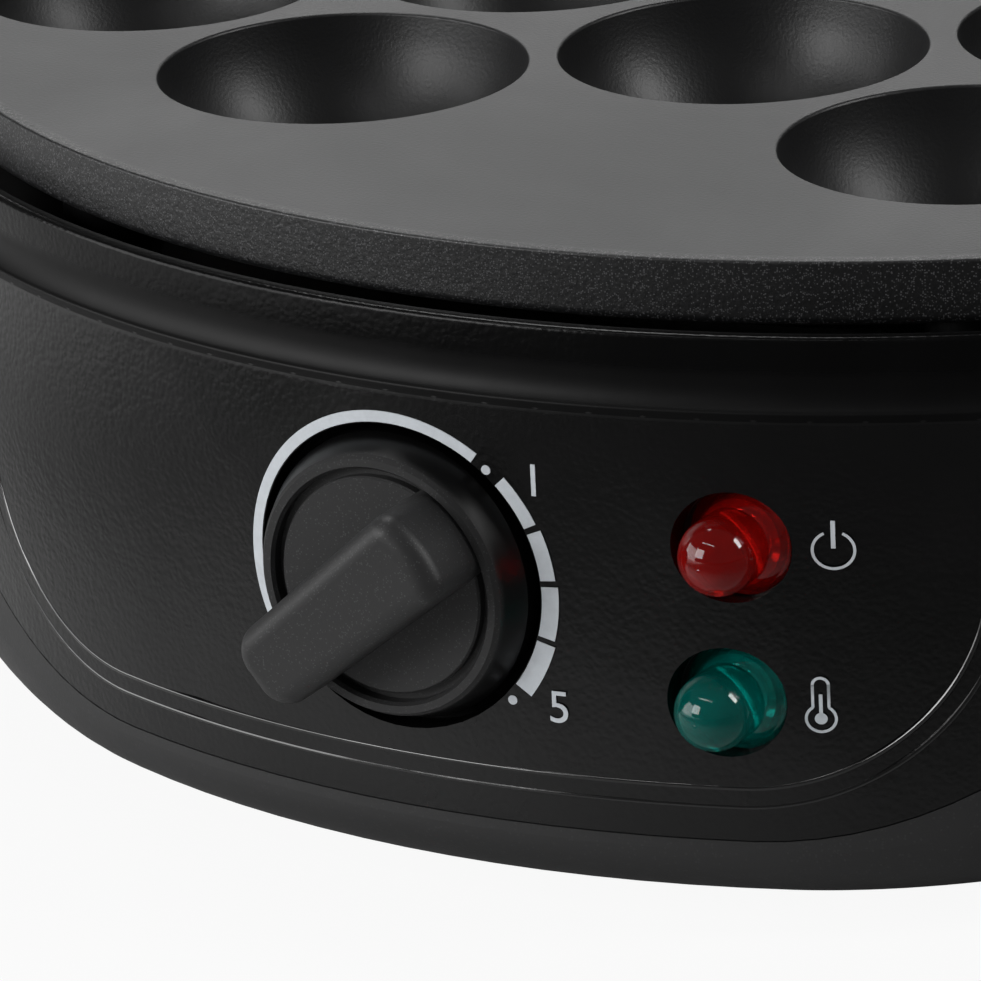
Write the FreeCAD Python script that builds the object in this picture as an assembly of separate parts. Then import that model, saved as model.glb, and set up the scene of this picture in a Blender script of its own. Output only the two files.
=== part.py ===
"""Takoyaki maker: a round table-top cooker with eighteen half-round cups.

The frame's origin is on the table, under the centre of the cooking plate.
+Z points up, and the control panel faces -Y. All sizes are millimetres.
"""
import FreeCAD, Part
import math
import os

from FreeCAD import Vector

# Cooking plate
PLATE_TOP = 70.0          # cooking surface above the table
PLATE_DECK = 3.0          # thickness between the cups
RIM_DEPTH = 6.8           # how far the edge wall hangs below the surface
RIM_WALL = 2.6
CUP_MOUTH_R = 20.0
CUP_LAND = 3.15           # flat left between neighbouring cups
CUP_PITCH = 2 * CUP_MOUTH_R + CUP_LAND
CUP_SHALLOWER = 1.5       # how much less deep than half a ball a cup is
CUP_DEPTH = CUP_MOUTH_R - CUP_SHALLOWER
CUP_WALL = 2.6
CUP_EDGE_ROUND = 0.3
CUP_TURN_DEG = 1.4        # turn of the cups round the plate from the panel's middle
RIM_TOP_ROUND = 0.3
RIM_FOOT_ROUND = 1.0
PLATE_MARGIN = 5.7        # flat between the outermost cups and the plate's edge
PLATE_R = 2 * CUP_PITCH + CUP_MOUTH_R + PLATE_MARGIN
PLATE_BOSS_INSET = 9.0    # from the plate's edge to its screw bosses
PLATE_BOSS_CIRCLE = PLATE_R - PLATE_BOSS_INSET
PLATE_BOSS_R = 4.6
PLATE_BOSS_ANGLES = (-60.0, -120.0, 60.0, 120.0)

# Heating element and what holds it
ELEMENT_RING_R = 60.0
ELEMENT_TUBE_R = 3.3
ELEMENT_SEAT_Z = 46.5     # underside of the cast ridge that seats the tube
ELEMENT_SEAT_GAP = 0.05
ELEMENT_RIDGE_HALF = 4.6
ELEMENT_GAP_DEG = 15.0    # half of the open stretch at the back
ELEMENT_BEND_R = 8.0
ELEMENT_END_DROP = 9.0
TERMINAL_PIN_R = 1.5
TERMINAL_PIN_LENGTH = 8.0
CLAMP_ANGLES = (-60.0, 60.0, 180.0)
CLAMP_WIDTH = 8.0
CLAMP_SHEET = 1.2
CLAMP_GAP = 0.2

# Housing
BODY_MARGIN = 5.4         # how far the main wall stands out past the plate
BODY_R = PLATE_R + BODY_MARGIN
LEDGE_WIDTH = 1.2         # how far the band above the ledge is set back
BAND_R = BODY_R - LEDGE_WIDTH
BAND_WALL = 1.4
BORE_R = BAND_R - BAND_WALL
LIP_DROP = 6.4            # lip below the cooking surface
LEDGE_DROP = 14.3         # ledge below the cooking surface
SEAM_SIDE_Z = 21.0        # seam between housing and base, at sides and back
APRON_Z = 10.3            # lower edge of the apron at the front
APRON_HALF_FLAT = 37.0
APRON_CORNER_R = 42.0
APRON_BLEND_R = 15.0
SEAM_GAP = 0.15
GROOVE_Z = 14.9
GROOVE_TURN_DEG = -0.5     # turn of the groove round the housing from the knob
GROOVE_HALF_WIDTH = 61.0
GROOVE_CORNER_R = 24.0
GROOVE_R = 0.95
GROOVE_DEPTH = 0.7
LUG_TOP_Z = 50.0
LUG_THICKNESS = 4.0
LUG_WIDTH = 15.0
POST_INSET = 8.3          # from the housing's bore to its screw posts
POST_CIRCLE = BORE_R - POST_INSET
POST_R = 4.5
POST_ANGLES = (-35.0, -145.0, 45.0, 135.0)
POST_TOP_Z = 40.0
POST_JOINT_Z = 16.0       # where the housing's posts meet the base's bosses

# Reflector
REFLECTOR_SHEET = 0.8
REFLECTOR_FLOOR_Z = 36.0
REFLECTOR_BORE_GAP = 5.8  # from the housing's bore to the reflector's lip
REFLECTOR_LIP_R = BORE_R - REFLECTOR_BORE_GAP
REFLECTOR_LIP_WIDTH = 12.0
REFLECTOR_WALL_TOP_R = REFLECTOR_LIP_R - REFLECTOR_LIP_WIDTH
REFLECTOR_FLARE = 9.0     # how much wider the dish is at its top
REFLECTOR_FLOOR_R = REFLECTOR_WALL_TOP_R - REFLECTOR_FLARE
REFLECTOR_HOLE_GAP = 1.5

# Base
BASE_BOTTOM_Z = 3.0
BASE_WALL = 2.4
BASE_ROUND_FRONT = 6.0
BASE_ROUND_SIDE = 16.0
FRONT_ROUND_DEG = 20.0
SIDE_ROUND_DEG = 50.0
VENT_COUNT = 7
VENT_PITCH = 9.0
VENT_WIDTH = 3.0
VENT_LENGTH = 34.0
RIB_HEIGHT = 5.0
FOOT_INSET = 33.4         # from the main wall to the feet's centres
FOOT_CIRCLE = BODY_R - FOOT_INSET
FOOT_R = 9.0
FOOT_ANGLES = {"front_left": -135.0, "front_right": -45.0, "rear_left": 135.0, "rear_right": 45.0}
FOOT_HEIGHT = 5.0
FOOT_RECESS = 2.0
FOOT_STEM_R = 3.0
FOOT_FIT = 0.1

# Knob and thermostat
KNOB_Z = PLATE_TOP - 34.8
KNOB_REST_DEG = 220.0     # where the pointer rests, from +X, seen from the front
KNOB_RIM_R = 14.0
KNOB_SKIRT_R = 15.3
KNOB_RIM_OUT = 3.3
KNOB_LIP_WIDTH = 1.5
KNOB_GROOVE_WIDTH = 0.9
KNOB_GROOVE_DEPTH = 1.5
KNOB_DISC_OUT = 2.9
KNOB_SKIRT_IN = 2.5
KNOB_WALL = 1.6
KNOB_HUB_R = 5.0
GRIP_TIP = 16.3
GRIP_TAIL = 12.6
GRIP_TIP_HALF = 4.5
GRIP_TAIL_HALF = 5.3
GRIP_TIP_ROUND = 3.4
GRIP_TAIL_ROUND = 2.4
GRIP_UNDERSIDE = 1.6
GRIP_TAIL_HEIGHT = 12.0
GRIP_TIP_HEIGHT = 9.0
GRIP_ROUND = 2.2
WELL_R = 16.4
WELL_DEPTH = 6.0
WELL_WALL = 1.8
SHAFT_R = 3.0
SHAFT_RUN_GAP = 0.05
SHAFT_FLAT = 2.3          # from the shaft's axis to its flat
SHAFT_OUT = 3.0
BUSH_R = 4.9
BUSH_FIT = 0.15
NUT_FLATS = 12.0
NUT_THICKNESS = 2.0
STAT_BODY_R = 8.0
STAT_BODY_DEPTH = 8.0
STAT_PLATE = 1.2
STAT_PLATE_HALF = 11.0
SCREW_R = 1.5
SCREW_GAP = 0.05
SCREW_HEAD_R = 2.9
SCREW_HEAD = 1.8

# Lamps
LAMPS = {"power": (35.8, PLATE_TOP - 28.2), "ready": (34.9, PLATE_TOP - 44.8)}   # across and up
LAMP_HOLE_R = 5.85
LAMP_FIT = 0.2
LAMP_DOME_R = 4.0
LAMP_DOME_OUT = 6.6
LAMP_FLARE_IN = 0.7       # base of the dome below the panel's face
LAMP_SEAT_IN = 3.0        # seat of the lens, behind the panel's face
LAMP_FLANGE = 0.8
LAMP_BOSS_R = 8.0
LAMP_BOSS = 3.4
LAMP_BARREL_R = 4.9
LAMP_BARREL_IN = 15.5
LAMP_BARREL_WALL = 1.1
LAMP_RETAINER = 0.6
SKIN = 0.5                # of the wall kept whole outside an added boss
NEON_R = 2.9
NEON_BACK_IN = 17.0

# Rear entry
GLAND_Z = 30.0
GLAND_R = 7.0
GLAND_BORE_R = 3.6
GLAND_FLANGE_R = 9.5
GLAND_FLANGE = 2.2
GLAND_NOSE = 8.8
GLAND_NOSE_TAPER = 1.5
GLAND_NECK_R = 6.0

# Inner parts on the base's floor
BLOCK_LENGTH = 36.0
BLOCK_WIDTH = 16.0
BLOCK_HEIGHT = 12.0
BLOCK_Y = 32.0
BLOCK_WAYS = 3

UP = Vector(0, 0, 1)
BASE_FLOOR_Z = BASE_BOTTOM_Z + BASE_WALL
LIP_Z = PLATE_TOP - LIP_DROP
LEDGE_Z = PLATE_TOP - LEDGE_DROP
CUP_SPHERE_R = (CUP_MOUTH_R ** 2 + CUP_DEPTH ** 2) / (2 * CUP_DEPTH)
CUP_CENTRE_Z = PLATE_TOP - CUP_DEPTH + CUP_SPHERE_R
LUG_BOTTOM_Z = LUG_TOP_Z - LUG_THICKNESS
WASHER = 1.2
PLATE_BOSS_Z = LUG_TOP_Z + REFLECTOR_SHEET + WASHER


def polar(radius, degrees, z=0.0):
    """A point at a radius and an angle from +X, at height z."""
    turn = math.radians(degrees)
    return Vector(radius * math.cos(turn), radius * math.sin(turn), z)


def disc(radius, low, high, at=Vector(0, 0, 0)):
    """An upright cylinder between two heights."""
    return Part.makeCylinder(radius, high - low, Vector(at.x, at.y, low), UP)


def ring(outer, inner, low, high, at=Vector(0, 0, 0)):
    """An upright tube between two heights."""
    return disc(outer, low, high, at).cut(disc(inner, low, high, at))


def revolved(points):
    """A solid of revolution about +Z from (radius, z) corners."""
    corners = [Vector(radius, 0, z) for radius, z in points]
    corners.append(corners[0])
    face = Part.Face(Part.makePolygon(corners))
    return face.revolve(Vector(0, 0, 0), UP, 360)


def outline_face(edges):
    """A flat face inside a closed loop of edges."""
    return Part.Face(Part.Wire(Part.__sortEdges__(edges)))


def fuse_all(shapes):
    """One solid from several that touch or overlap."""
    return shapes[0].multiFuse(shapes[1:]).removeSplitter()


def facing_front(shape):
    """Turns a shape built along +Z so that +Z points out of the panel, at the knob's axis."""
    turned = shape.copy()
    turned.rotate(Vector(0, 0, 0), Vector(1, 0, 0), 90)
    turned.translate(Vector(0, -BODY_R, KNOB_Z))
    return turned


def facing_out(shape, lamp):
    """Turns a shape built along +Z so that +Z points out of the panel, at a lamp."""
    turned = shape.copy()
    turned.rotate(Vector(0, 0, 0), Vector(1, 0, 0), 90)
    across, up = LAMPS[lamp]
    turned.translate(Vector(across, -math.sqrt(BODY_R ** 2 - across ** 2), up))
    return turned


def cup_centres():
    """The hexagonal field of cups, without the one nearest to the knob."""
    centres = [Vector(0, 0, 0)]
    for step in range(6):
        corner_angle = -90.0 + CUP_TURN_DEG + 60.0 * step
        centres.append(polar(CUP_PITCH, corner_angle))
        centres.append(polar(CUP_PITCH * math.sqrt(3.0), corner_angle + 30.0))
        if step > 0:
            centres.append(polar(2 * CUP_PITCH, corner_angle))
    return centres


def cooking_plate():
    """Cast plate: deck, edge wall, cups, element ridge and four screw bosses."""
    under_deck = PLATE_TOP - PLATE_DECK
    rim_foot = PLATE_TOP - RIM_DEPTH
    body = disc(PLATE_R, rim_foot, PLATE_TOP)
    body = body.cut(disc(PLATE_R - RIM_WALL, rim_foot, under_deck))
    body = body.makeFillet(RIM_TOP_ROUND, [edge for edge in body.Edges if on_circle(edge, PLATE_R, PLATE_TOP)])
    body = body.makeFillet(RIM_FOOT_ROUND, [edge for edge in body.Edges if on_circle(edge, PLATE_R, rim_foot)])
    added = []
    below = disc(PLATE_R, 0, under_deck + PLATE_DECK / 2)
    for centre in cup_centres():
        bowl = Part.makeSphere(CUP_SPHERE_R + CUP_WALL, Vector(centre.x, centre.y, CUP_CENTRE_Z))
        added.append(bowl.common(below))
    added.append(ring(ELEMENT_RING_R + ELEMENT_RIDGE_HALF, ELEMENT_RING_R - ELEMENT_RIDGE_HALF,
                      ELEMENT_SEAT_Z, under_deck + PLATE_DECK / 2))
    for angle in PLATE_BOSS_ANGLES:
        added.append(disc(PLATE_BOSS_R, PLATE_BOSS_Z, under_deck + PLATE_DECK / 2,
                          polar(PLATE_BOSS_CIRCLE, angle)))
    for angle in CLAMP_ANGLES:
        added.append(disc(PLATE_BOSS_R, ELEMENT_SEAT_Z, under_deck + PLATE_DECK / 2,
                          clamp_screw_point(angle)))
    body = fuse_all([body] + added)
    for centre in cup_centres():
        body = body.cut(Part.makeSphere(CUP_SPHERE_R, Vector(centre.x, centre.y, CUP_CENTRE_Z)))
    mouths = [edge for edge in body.Edges if on_circle(edge, CUP_MOUTH_R, PLATE_TOP)]
    body = body.makeFillet(CUP_EDGE_ROUND, mouths)
    seat_r = ELEMENT_TUBE_R + ELEMENT_SEAT_GAP
    body = body.cut(Part.makeTorus(ELEMENT_RING_R, seat_r, Vector(0, 0, ELEMENT_SEAT_Z)))
    for angle in PLATE_BOSS_ANGLES:
        body = body.cut(disc(SCREW_R + SCREW_GAP, PLATE_BOSS_Z, PLATE_BOSS_Z + 10,
                             polar(PLATE_BOSS_CIRCLE, angle)))
    for angle in CLAMP_ANGLES:
        body = body.cut(disc(SCREW_R + SCREW_GAP, ELEMENT_SEAT_Z, ELEMENT_SEAT_Z + 8,
                             clamp_screw_point(angle)))
    return body


def on_circle(edge, radius, z):
    """True for a round edge of this radius at this height."""
    if edge.Degenerated:
        return False
    curve = edge.Curve
    if not isinstance(curve, Part.Circle):
        return False
    return abs(curve.Radius - radius) < 1e-4 and abs(curve.Center.z - z) < 1e-4


def clamp_screw_point(angle):
    """Axis of one clamp's screw, in plan: midway between three cups."""
    return polar(2 * CUP_PITCH / math.sqrt(3.0), angle)


def heating_element():
    """Sheathed tube in a ring, both ends turned down, with their terminal pins."""
    start = 90.0 + ELEMENT_GAP_DEG
    first = polar(ELEMENT_RING_R, start, ELEMENT_SEAT_Z)
    middle = polar(ELEMENT_RING_R, -90.0, ELEMENT_SEAT_Z)
    last = polar(ELEMENT_RING_R, 90.0 - ELEMENT_GAP_DEG, ELEMENT_SEAT_Z)
    ring_edge = Part.Arc(first, middle, last).toShape()
    left = element_end(first, start - 90.0)
    right = element_end(last, 90.0 - ELEMENT_GAP_DEG + 90.0)
    spine = Part.Wire([left[1], left[0], ring_edge, right[0], right[1]])
    tip = left[2]
    section = Part.Wire(Part.makeCircle(ELEMENT_TUBE_R, tip, UP))
    tube = spine.makePipeShell([section], True, False)
    pins = []
    for end in (left[2], right[2]):
        pins.append(disc(TERMINAL_PIN_R, end.z - TERMINAL_PIN_LENGTH, end.z + 2.0, end))
    return fuse_all([tube] + pins)


def element_end(point, heading):
    """Bend and straight drop at one end of the tube: two edges and the tip."""
    ahead = polar(1.0, heading)
    quarter = math.sin(math.radians(45.0))
    middle = point + ahead * (ELEMENT_BEND_R * quarter) - UP * (ELEMENT_BEND_R * (1 - quarter))
    turn_end = point + ahead * ELEMENT_BEND_R - UP * ELEMENT_BEND_R
    tip = turn_end - UP * ELEMENT_END_DROP
    bend = Part.Arc(point, middle, turn_end).toShape()
    return bend, Part.LineSegment(turn_end, tip).toShape(), tip


def screw(low, seat, top, at):
    """A screw whose head hangs below its seat and whose shank ends at the top."""
    return fuse_all([disc(SCREW_HEAD_R, low, seat, at), disc(SCREW_R, seat - 0.1, top, at)])


def screw_set(circle_points, seat, top):
    """Equal screws as one group of separate solids, heads below the seat."""
    return Part.makeCompound([screw(seat - SCREW_HEAD, seat, top, at) for at in circle_points])


def element_clamps():
    """Bent strips that hold the tube up against its seat."""
    top = ELEMENT_SEAT_Z
    inner_end = 2 * CUP_PITCH / math.sqrt(3.0) - 4.0
    outer_end = ELEMENT_RING_R + ELEMENT_RIDGE_HALF
    bow_r = ELEMENT_TUBE_R + CLAMP_GAP
    strips = []
    for angle in CLAMP_ANGLES:
        strip = Part.makeBox(outer_end - inner_end, CLAMP_WIDTH, CLAMP_SHEET,
                             Vector(inner_end, -CLAMP_WIDTH / 2, top - CLAMP_SHEET))
        start = Vector(ELEMENT_RING_R, -CLAMP_WIDTH / 2, top)
        bow = Part.makeCylinder(bow_r + CLAMP_SHEET, CLAMP_WIDTH, start, Vector(0, 1, 0))
        bow = bow.common(Part.makeBox(40, 40, 20, Vector(ELEMENT_RING_R - 20, -20, top - 20)))
        strip = fuse_all([strip, bow])
        strip = strip.cut(Part.makeCylinder(bow_r, CLAMP_WIDTH, start, Vector(0, 1, 0)))
        strip = strip.cut(disc(SCREW_R + SCREW_GAP, 0, top + 1, clamp_screw_point(0.0)))
        strip.rotate(Vector(0, 0, 0), UP, angle)
        strips.append(strip)
    return Part.makeCompound(strips)


def clamp_screws():
    """One screw for each element clamp."""
    points = [clamp_screw_point(angle) for angle in CLAMP_ANGLES]
    return screw_set(points, ELEMENT_SEAT_Z - CLAMP_SHEET, ELEMENT_SEAT_Z + 6.0)


def plate_boss_points():
    """Axes of the four screws that hold the plate."""
    return [polar(PLATE_BOSS_CIRCLE, angle) for angle in PLATE_BOSS_ANGLES]


def plate_screws():
    """Screws up through the housing's lugs into the plate's bosses."""
    return screw_set(plate_boss_points(), LUG_BOTTOM_Z, PLATE_BOSS_Z + 8.0)


def heat_washers():
    """Insulating washers between the reflector and the plate's bosses."""
    low = LUG_TOP_Z + REFLECTOR_SHEET
    bore = SCREW_R + 0.2
    return Part.makeCompound([ring(PLATE_BOSS_R, bore, low, PLATE_BOSS_Z, at) for at in plate_boss_points()])


def heat_reflector():
    """Pressed dish under the element, resting on the housing's lugs."""
    floor = REFLECTOR_FLOOR_Z
    lip = LUG_TOP_Z
    sheet = REFLECTOR_SHEET
    dish = revolved([(0, floor), (REFLECTOR_FLOOR_R, floor), (REFLECTOR_WALL_TOP_R, lip),
                     (REFLECTOR_LIP_R, lip), (REFLECTOR_LIP_R, lip + sheet),
                     (REFLECTOR_WALL_TOP_R - sheet, lip + sheet),
                     (REFLECTOR_FLOOR_R - sheet, floor + sheet), (0, floor + sheet)])
    for at in plate_boss_points():
        dish = dish.cut(disc(SCREW_R + 0.2, lip - 1, lip + sheet + 1, at))
    for at in element_tips():
        dish = dish.cut(disc(ELEMENT_TUBE_R + REFLECTOR_HOLE_GAP, floor - 1, floor + 2, at))
    return dish


def element_tips():
    """Plan points of the element's two turned-down ends."""
    first = polar(ELEMENT_RING_R, 90.0 + ELEMENT_GAP_DEG)
    last = polar(ELEMENT_RING_R, 90.0 - ELEMENT_GAP_DEG)
    return [first + polar(ELEMENT_BEND_R, ELEMENT_GAP_DEG),
            last + polar(ELEMENT_BEND_R, 180.0 - ELEMENT_GAP_DEG)]


def arc_edge(centre, radius, start, end):
    """An arc in the XZ plane, angles in degrees from +X towards +Z."""
    points = []
    for angle in (start, (start + end) / 2, end):
        turn = math.radians(angle)
        points.append(Vector(centre[0] + radius * math.cos(turn), 0, centre[1] + radius * math.sin(turn)))
    return Part.Arc(*points).toShape()


def line_edge(start, end):
    """A straight edge in the XZ plane."""
    return Part.LineSegment(Vector(start[0], 0, start[1]), Vector(end[0], 0, end[1])).toShape()


def seam_edges(drop):
    """Half of the seam, seen from the front, from its middle out to the right side."""
    apron = APRON_Z - drop
    side = SEAM_SIDE_Z - drop
    corner = (APRON_HALF_FLAT, apron + APRON_CORNER_R)
    reach = APRON_CORNER_R + APRON_BLEND_R
    rise = corner[1] - (side - APRON_BLEND_R)
    run = math.sqrt(reach ** 2 - rise ** 2)
    blend = (corner[0] + run, side - APRON_BLEND_R)
    tilt = math.degrees(math.atan2(-rise, run))
    far = BODY_R + 10.0
    return [line_edge((0, apron), (corner[0], apron)),
            arc_edge(corner, APRON_CORNER_R, -90.0, tilt),
            arc_edge(blend, APRON_BLEND_R, tilt + 180.0, 90.0),
            line_edge((blend[0], side), (far, side)),
            line_edge((far, side), (far, PLATE_TOP)),
            line_edge((far, PLATE_TOP), (0, PLATE_TOP)),
            line_edge((0, PLATE_TOP), (0, apron))]


def above_seam(drop):
    """The space above the seam: it dips at the front for the apron."""
    half = outline_face(seam_edges(drop))
    front = half.extrude(Vector(0, -BODY_R - 10, 0))
    mirrored = front.mirror(Vector(0, 0, 0), Vector(1, 0, 0))
    reach = BODY_R + 10.0
    back = Part.makeBox(2 * reach, reach, PLATE_TOP - SEAM_SIDE_Z + drop,
                        Vector(-reach, 0, SEAM_SIDE_Z - drop))
    return fuse_all([front, mirrored, back])


def housing_wall():
    """Turned outer form: lip, band, ledge and main wall."""
    low = APRON_Z - 2.0
    ledge = LEDGE_Z
    flare = (BAND_R + 0.8, ledge + 0.4)
    edges = [line_edge((BORE_R, low), (BODY_R, low)),
             line_edge((BODY_R, low), (BODY_R, ledge - 0.6)),
             three_point((BODY_R, ledge - 0.6), (BODY_R - 0.12, ledge + 0.05), flare),
             three_point(flare, (BAND_R + 0.17, ledge + 1.7), (BAND_R, ledge + 3.4)),
             line_edge((BAND_R, ledge + 3.4), (BAND_R, LIP_Z - 0.6)),
             three_point((BAND_R, LIP_Z - 0.6), (BAND_R - 0.17, LIP_Z - 0.17), (BAND_R - 0.6, LIP_Z)),
             line_edge((BAND_R - 0.6, LIP_Z), (BORE_R + 0.2, LIP_Z)),
             line_edge((BORE_R + 0.2, LIP_Z), (BORE_R, LIP_Z - 0.2)),
             line_edge((BORE_R, LIP_Z - 0.2), (BORE_R, low))]
    return outline_face(edges).revolve(Vector(0, 0, 0), UP, 360)


def three_point(start, through, end):
    """An arc in the XZ plane through three points."""
    points = [Vector(point[0], 0, point[1]) for point in (start, through, end)]
    return Part.Arc(*points).toShape()


def groove_point(across, z):
    """A point of the groove's centre line, just outside the main wall."""
    radius = BODY_R + GROOVE_R - GROOVE_DEPTH
    return Vector(across, -math.sqrt(radius ** 2 - across ** 2), z)


def groove_cutter():
    """Round-bottomed groove that frames the control panel on three sides."""
    half = GROOVE_HALF_WIDTH
    flat = half - GROOVE_CORNER_R
    turn_z = GROOVE_Z + GROOVE_CORNER_R
    radius = BODY_R + GROOVE_R - GROOVE_DEPTH
    corners = []
    for side in (-1, 1):
        points = []
        for step in range(7):
            turn = math.radians(90.0 * step / 6)
            points.append(groove_point(side * (flat + GROOVE_CORNER_R * math.sin(turn)),
                                       turn_z - GROOVE_CORNER_R * math.cos(turn)))
        curve = Part.BSplineCurve()
        lean = flat / math.sqrt(radius ** 2 - flat ** 2)
        curve.interpolate(Points=points, InitialTangent=Vector(side, lean, 0), FinalTangent=Vector(0, 0, 1))
        corners.append((points, curve.toShape()))
    left, right = corners
    top = LEDGE_Z - 1.0
    spine = Part.Wire([
        Part.LineSegment(groove_point(-half, top), left[0][-1]).toShape(),
        left[1],
        Part.Arc(left[0][0], groove_point(0, GROOVE_Z), right[0][0]).toShape(),
        right[1],
        Part.LineSegment(right[0][-1], groove_point(half, top)).toShape()])
    section = Part.Wire(Part.makeCircle(GROOVE_R, groove_point(-half, top), UP))
    pipe = spine.makePipeShell([section], True, False)
    pipe.rotate(Vector(0, 0, 0), UP, GROOVE_TURN_DEG)
    return pipe


def support_lugs():
    """Lugs inside the wall that carry the reflector and the plate."""
    lugs = []
    inner = PLATE_BOSS_CIRCLE - 5.5
    for angle in PLATE_BOSS_ANGLES:
        pad = Part.makeBox(BORE_R + 0.6 - inner, LUG_WIDTH, LUG_THICKNESS,
                           Vector(inner, -LUG_WIDTH / 2, LUG_BOTTOM_Z))
        outline = [Vector(BORE_R + 0.6, 0, LUG_BOTTOM_Z + 0.5), Vector(PLATE_BOSS_CIRCLE + 4.0, 0, LUG_BOTTOM_Z + 0.5),
                   Vector(BORE_R + 0.6, 0, LUG_BOTTOM_Z - 12.0)]
        gusset = Part.Face(Part.makePolygon(outline + [outline[0]])).extrude(Vector(0, 2.0, 0))
        for side in (-LUG_WIDTH / 2, LUG_WIDTH / 2 - 2.0):
            web = gusset.copy()
            web.translate(Vector(0, side, 0))
            pad = pad.fuse(web)
        pad = pad.cut(disc(SCREW_R + 0.2, 0, PLATE_TOP, Vector(PLATE_BOSS_CIRCLE, 0, 0)))
        pad.rotate(Vector(0, 0, 0), UP, angle)
        lugs.append(pad)
    return lugs


def housing_posts():
    """Screw posts for the base, webbed to the wall."""
    posts = []
    for angle in POST_ANGLES:
        low = POST_JOINT_Z + SEAM_GAP
        post = disc(POST_R, low, POST_TOP_Z, Vector(POST_CIRCLE, 0, 0))
        web = Part.makeBox(BORE_R + 0.6 - POST_CIRCLE, 2.4, POST_TOP_Z - SEAM_SIDE_Z - 2,
                           Vector(POST_CIRCLE, -1.2, SEAM_SIDE_Z + 2))
        post = post.fuse(web)
        post = post.cut(disc(SCREW_R + SCREW_GAP, low - 1, low + 12, Vector(POST_CIRCLE, 0, 0)))
        post.rotate(Vector(0, 0, 0), UP, angle)
        posts.append(post)
    return posts


def lamp_cutters():
    """Counterbores and barrel holes for the two lenses."""
    back = LAMP_SEAT_IN + LAMP_BOSS + 1
    tool = disc(LAMP_HOLE_R, -LAMP_SEAT_IN, 5).fuse(disc(LAMP_BARREL_R + LAMP_FIT / 2, -back, 5))
    return [facing_out(tool, lamp) for lamp in LAMPS]


def upper_housing():
    """One moulding: wall, apron, knob well, lamp seats, lugs and screw posts."""
    shell = housing_wall().common(above_seam(0.0))
    added = support_lugs() + housing_posts()
    added.append(facing_front(disc(WELL_R + WELL_WALL, -WELL_DEPTH - WELL_WALL, -1.0)).common(
        disc(BODY_R - 0.5, 0, PLATE_TOP)))
    for lamp in LAMPS:
        boss = facing_out(disc(LAMP_BOSS_R, -LAMP_SEAT_IN - LAMP_BOSS, 3.0), lamp)
        added.append(boss.common(disc(BODY_R - SKIN, 0, PLATE_TOP)))
    shell = fuse_all([shell] + added)
    shell = shell.cut(facing_front(disc(WELL_R, -WELL_DEPTH, 5)))
    shell = shell.cut(facing_front(disc(BUSH_R + BUSH_FIT, -WELL_DEPTH - WELL_WALL - 1, 0)))
    for tool in lamp_cutters():
        shell = shell.cut(tool)
    gland_hole = Part.makeCylinder(GLAND_NECK_R + FOOT_FIT, 20, Vector(0, BORE_R - 8, GLAND_Z), Vector(0, 1, 0))
    shell = shell.cut(gland_hole)
    return shell.cut(groove_cutter())


def rounded_drum(radius, low, high, front_round, side_round):
    """A drum whose lower edge is rounded little at the front and more elsewhere."""
    front = FRONT_ROUND_DEG
    side = SIDE_ROUND_DEG
    angles = [-90 - front, -90 + front, -90 + side, 270 - side, 270 - front]
    edges = []
    for start, end in zip(angles, angles[1:]):
        edges.append(Part.Arc(polar(radius, start, low), polar(radius, (start + end) / 2, low),
                              polar(radius, end, low)).toShape())
    drum = Part.Face(Part.Wire(edges)).extrude(Vector(0, 0, high - low))
    document = FreeCAD.newDocument("drum")
    base = document.addObject("Part::Feature", "base")
    base.Shape = drum
    rounds = []
    for index, edge in enumerate(base.Shape.Edges, start=1):
        ends = [vertex.Point for vertex in edge.Vertexes]
        if max(abs(point.z - low) for point in ends) > 1e-6:
            continue
        sizes = [front_round if is_frontal(point, radius) else side_round for point in ends]
        rounds.append((index, sizes[0], sizes[1]))
    fillet = document.addObject("Part::Fillet", "fillet")
    fillet.Base = base
    fillet.Edges = rounds
    document.recompute()
    result = fillet.Shape.copy()
    FreeCAD.closeDocument(document.Name)
    return result


def is_frontal(point, radius):
    """True inside the front stretch, where the edge's round is small."""
    limit = (FRONT_ROUND_DEG + SIDE_ROUND_DEG) / 2
    return -point.y > radius * math.cos(math.radians(limit))


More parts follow.
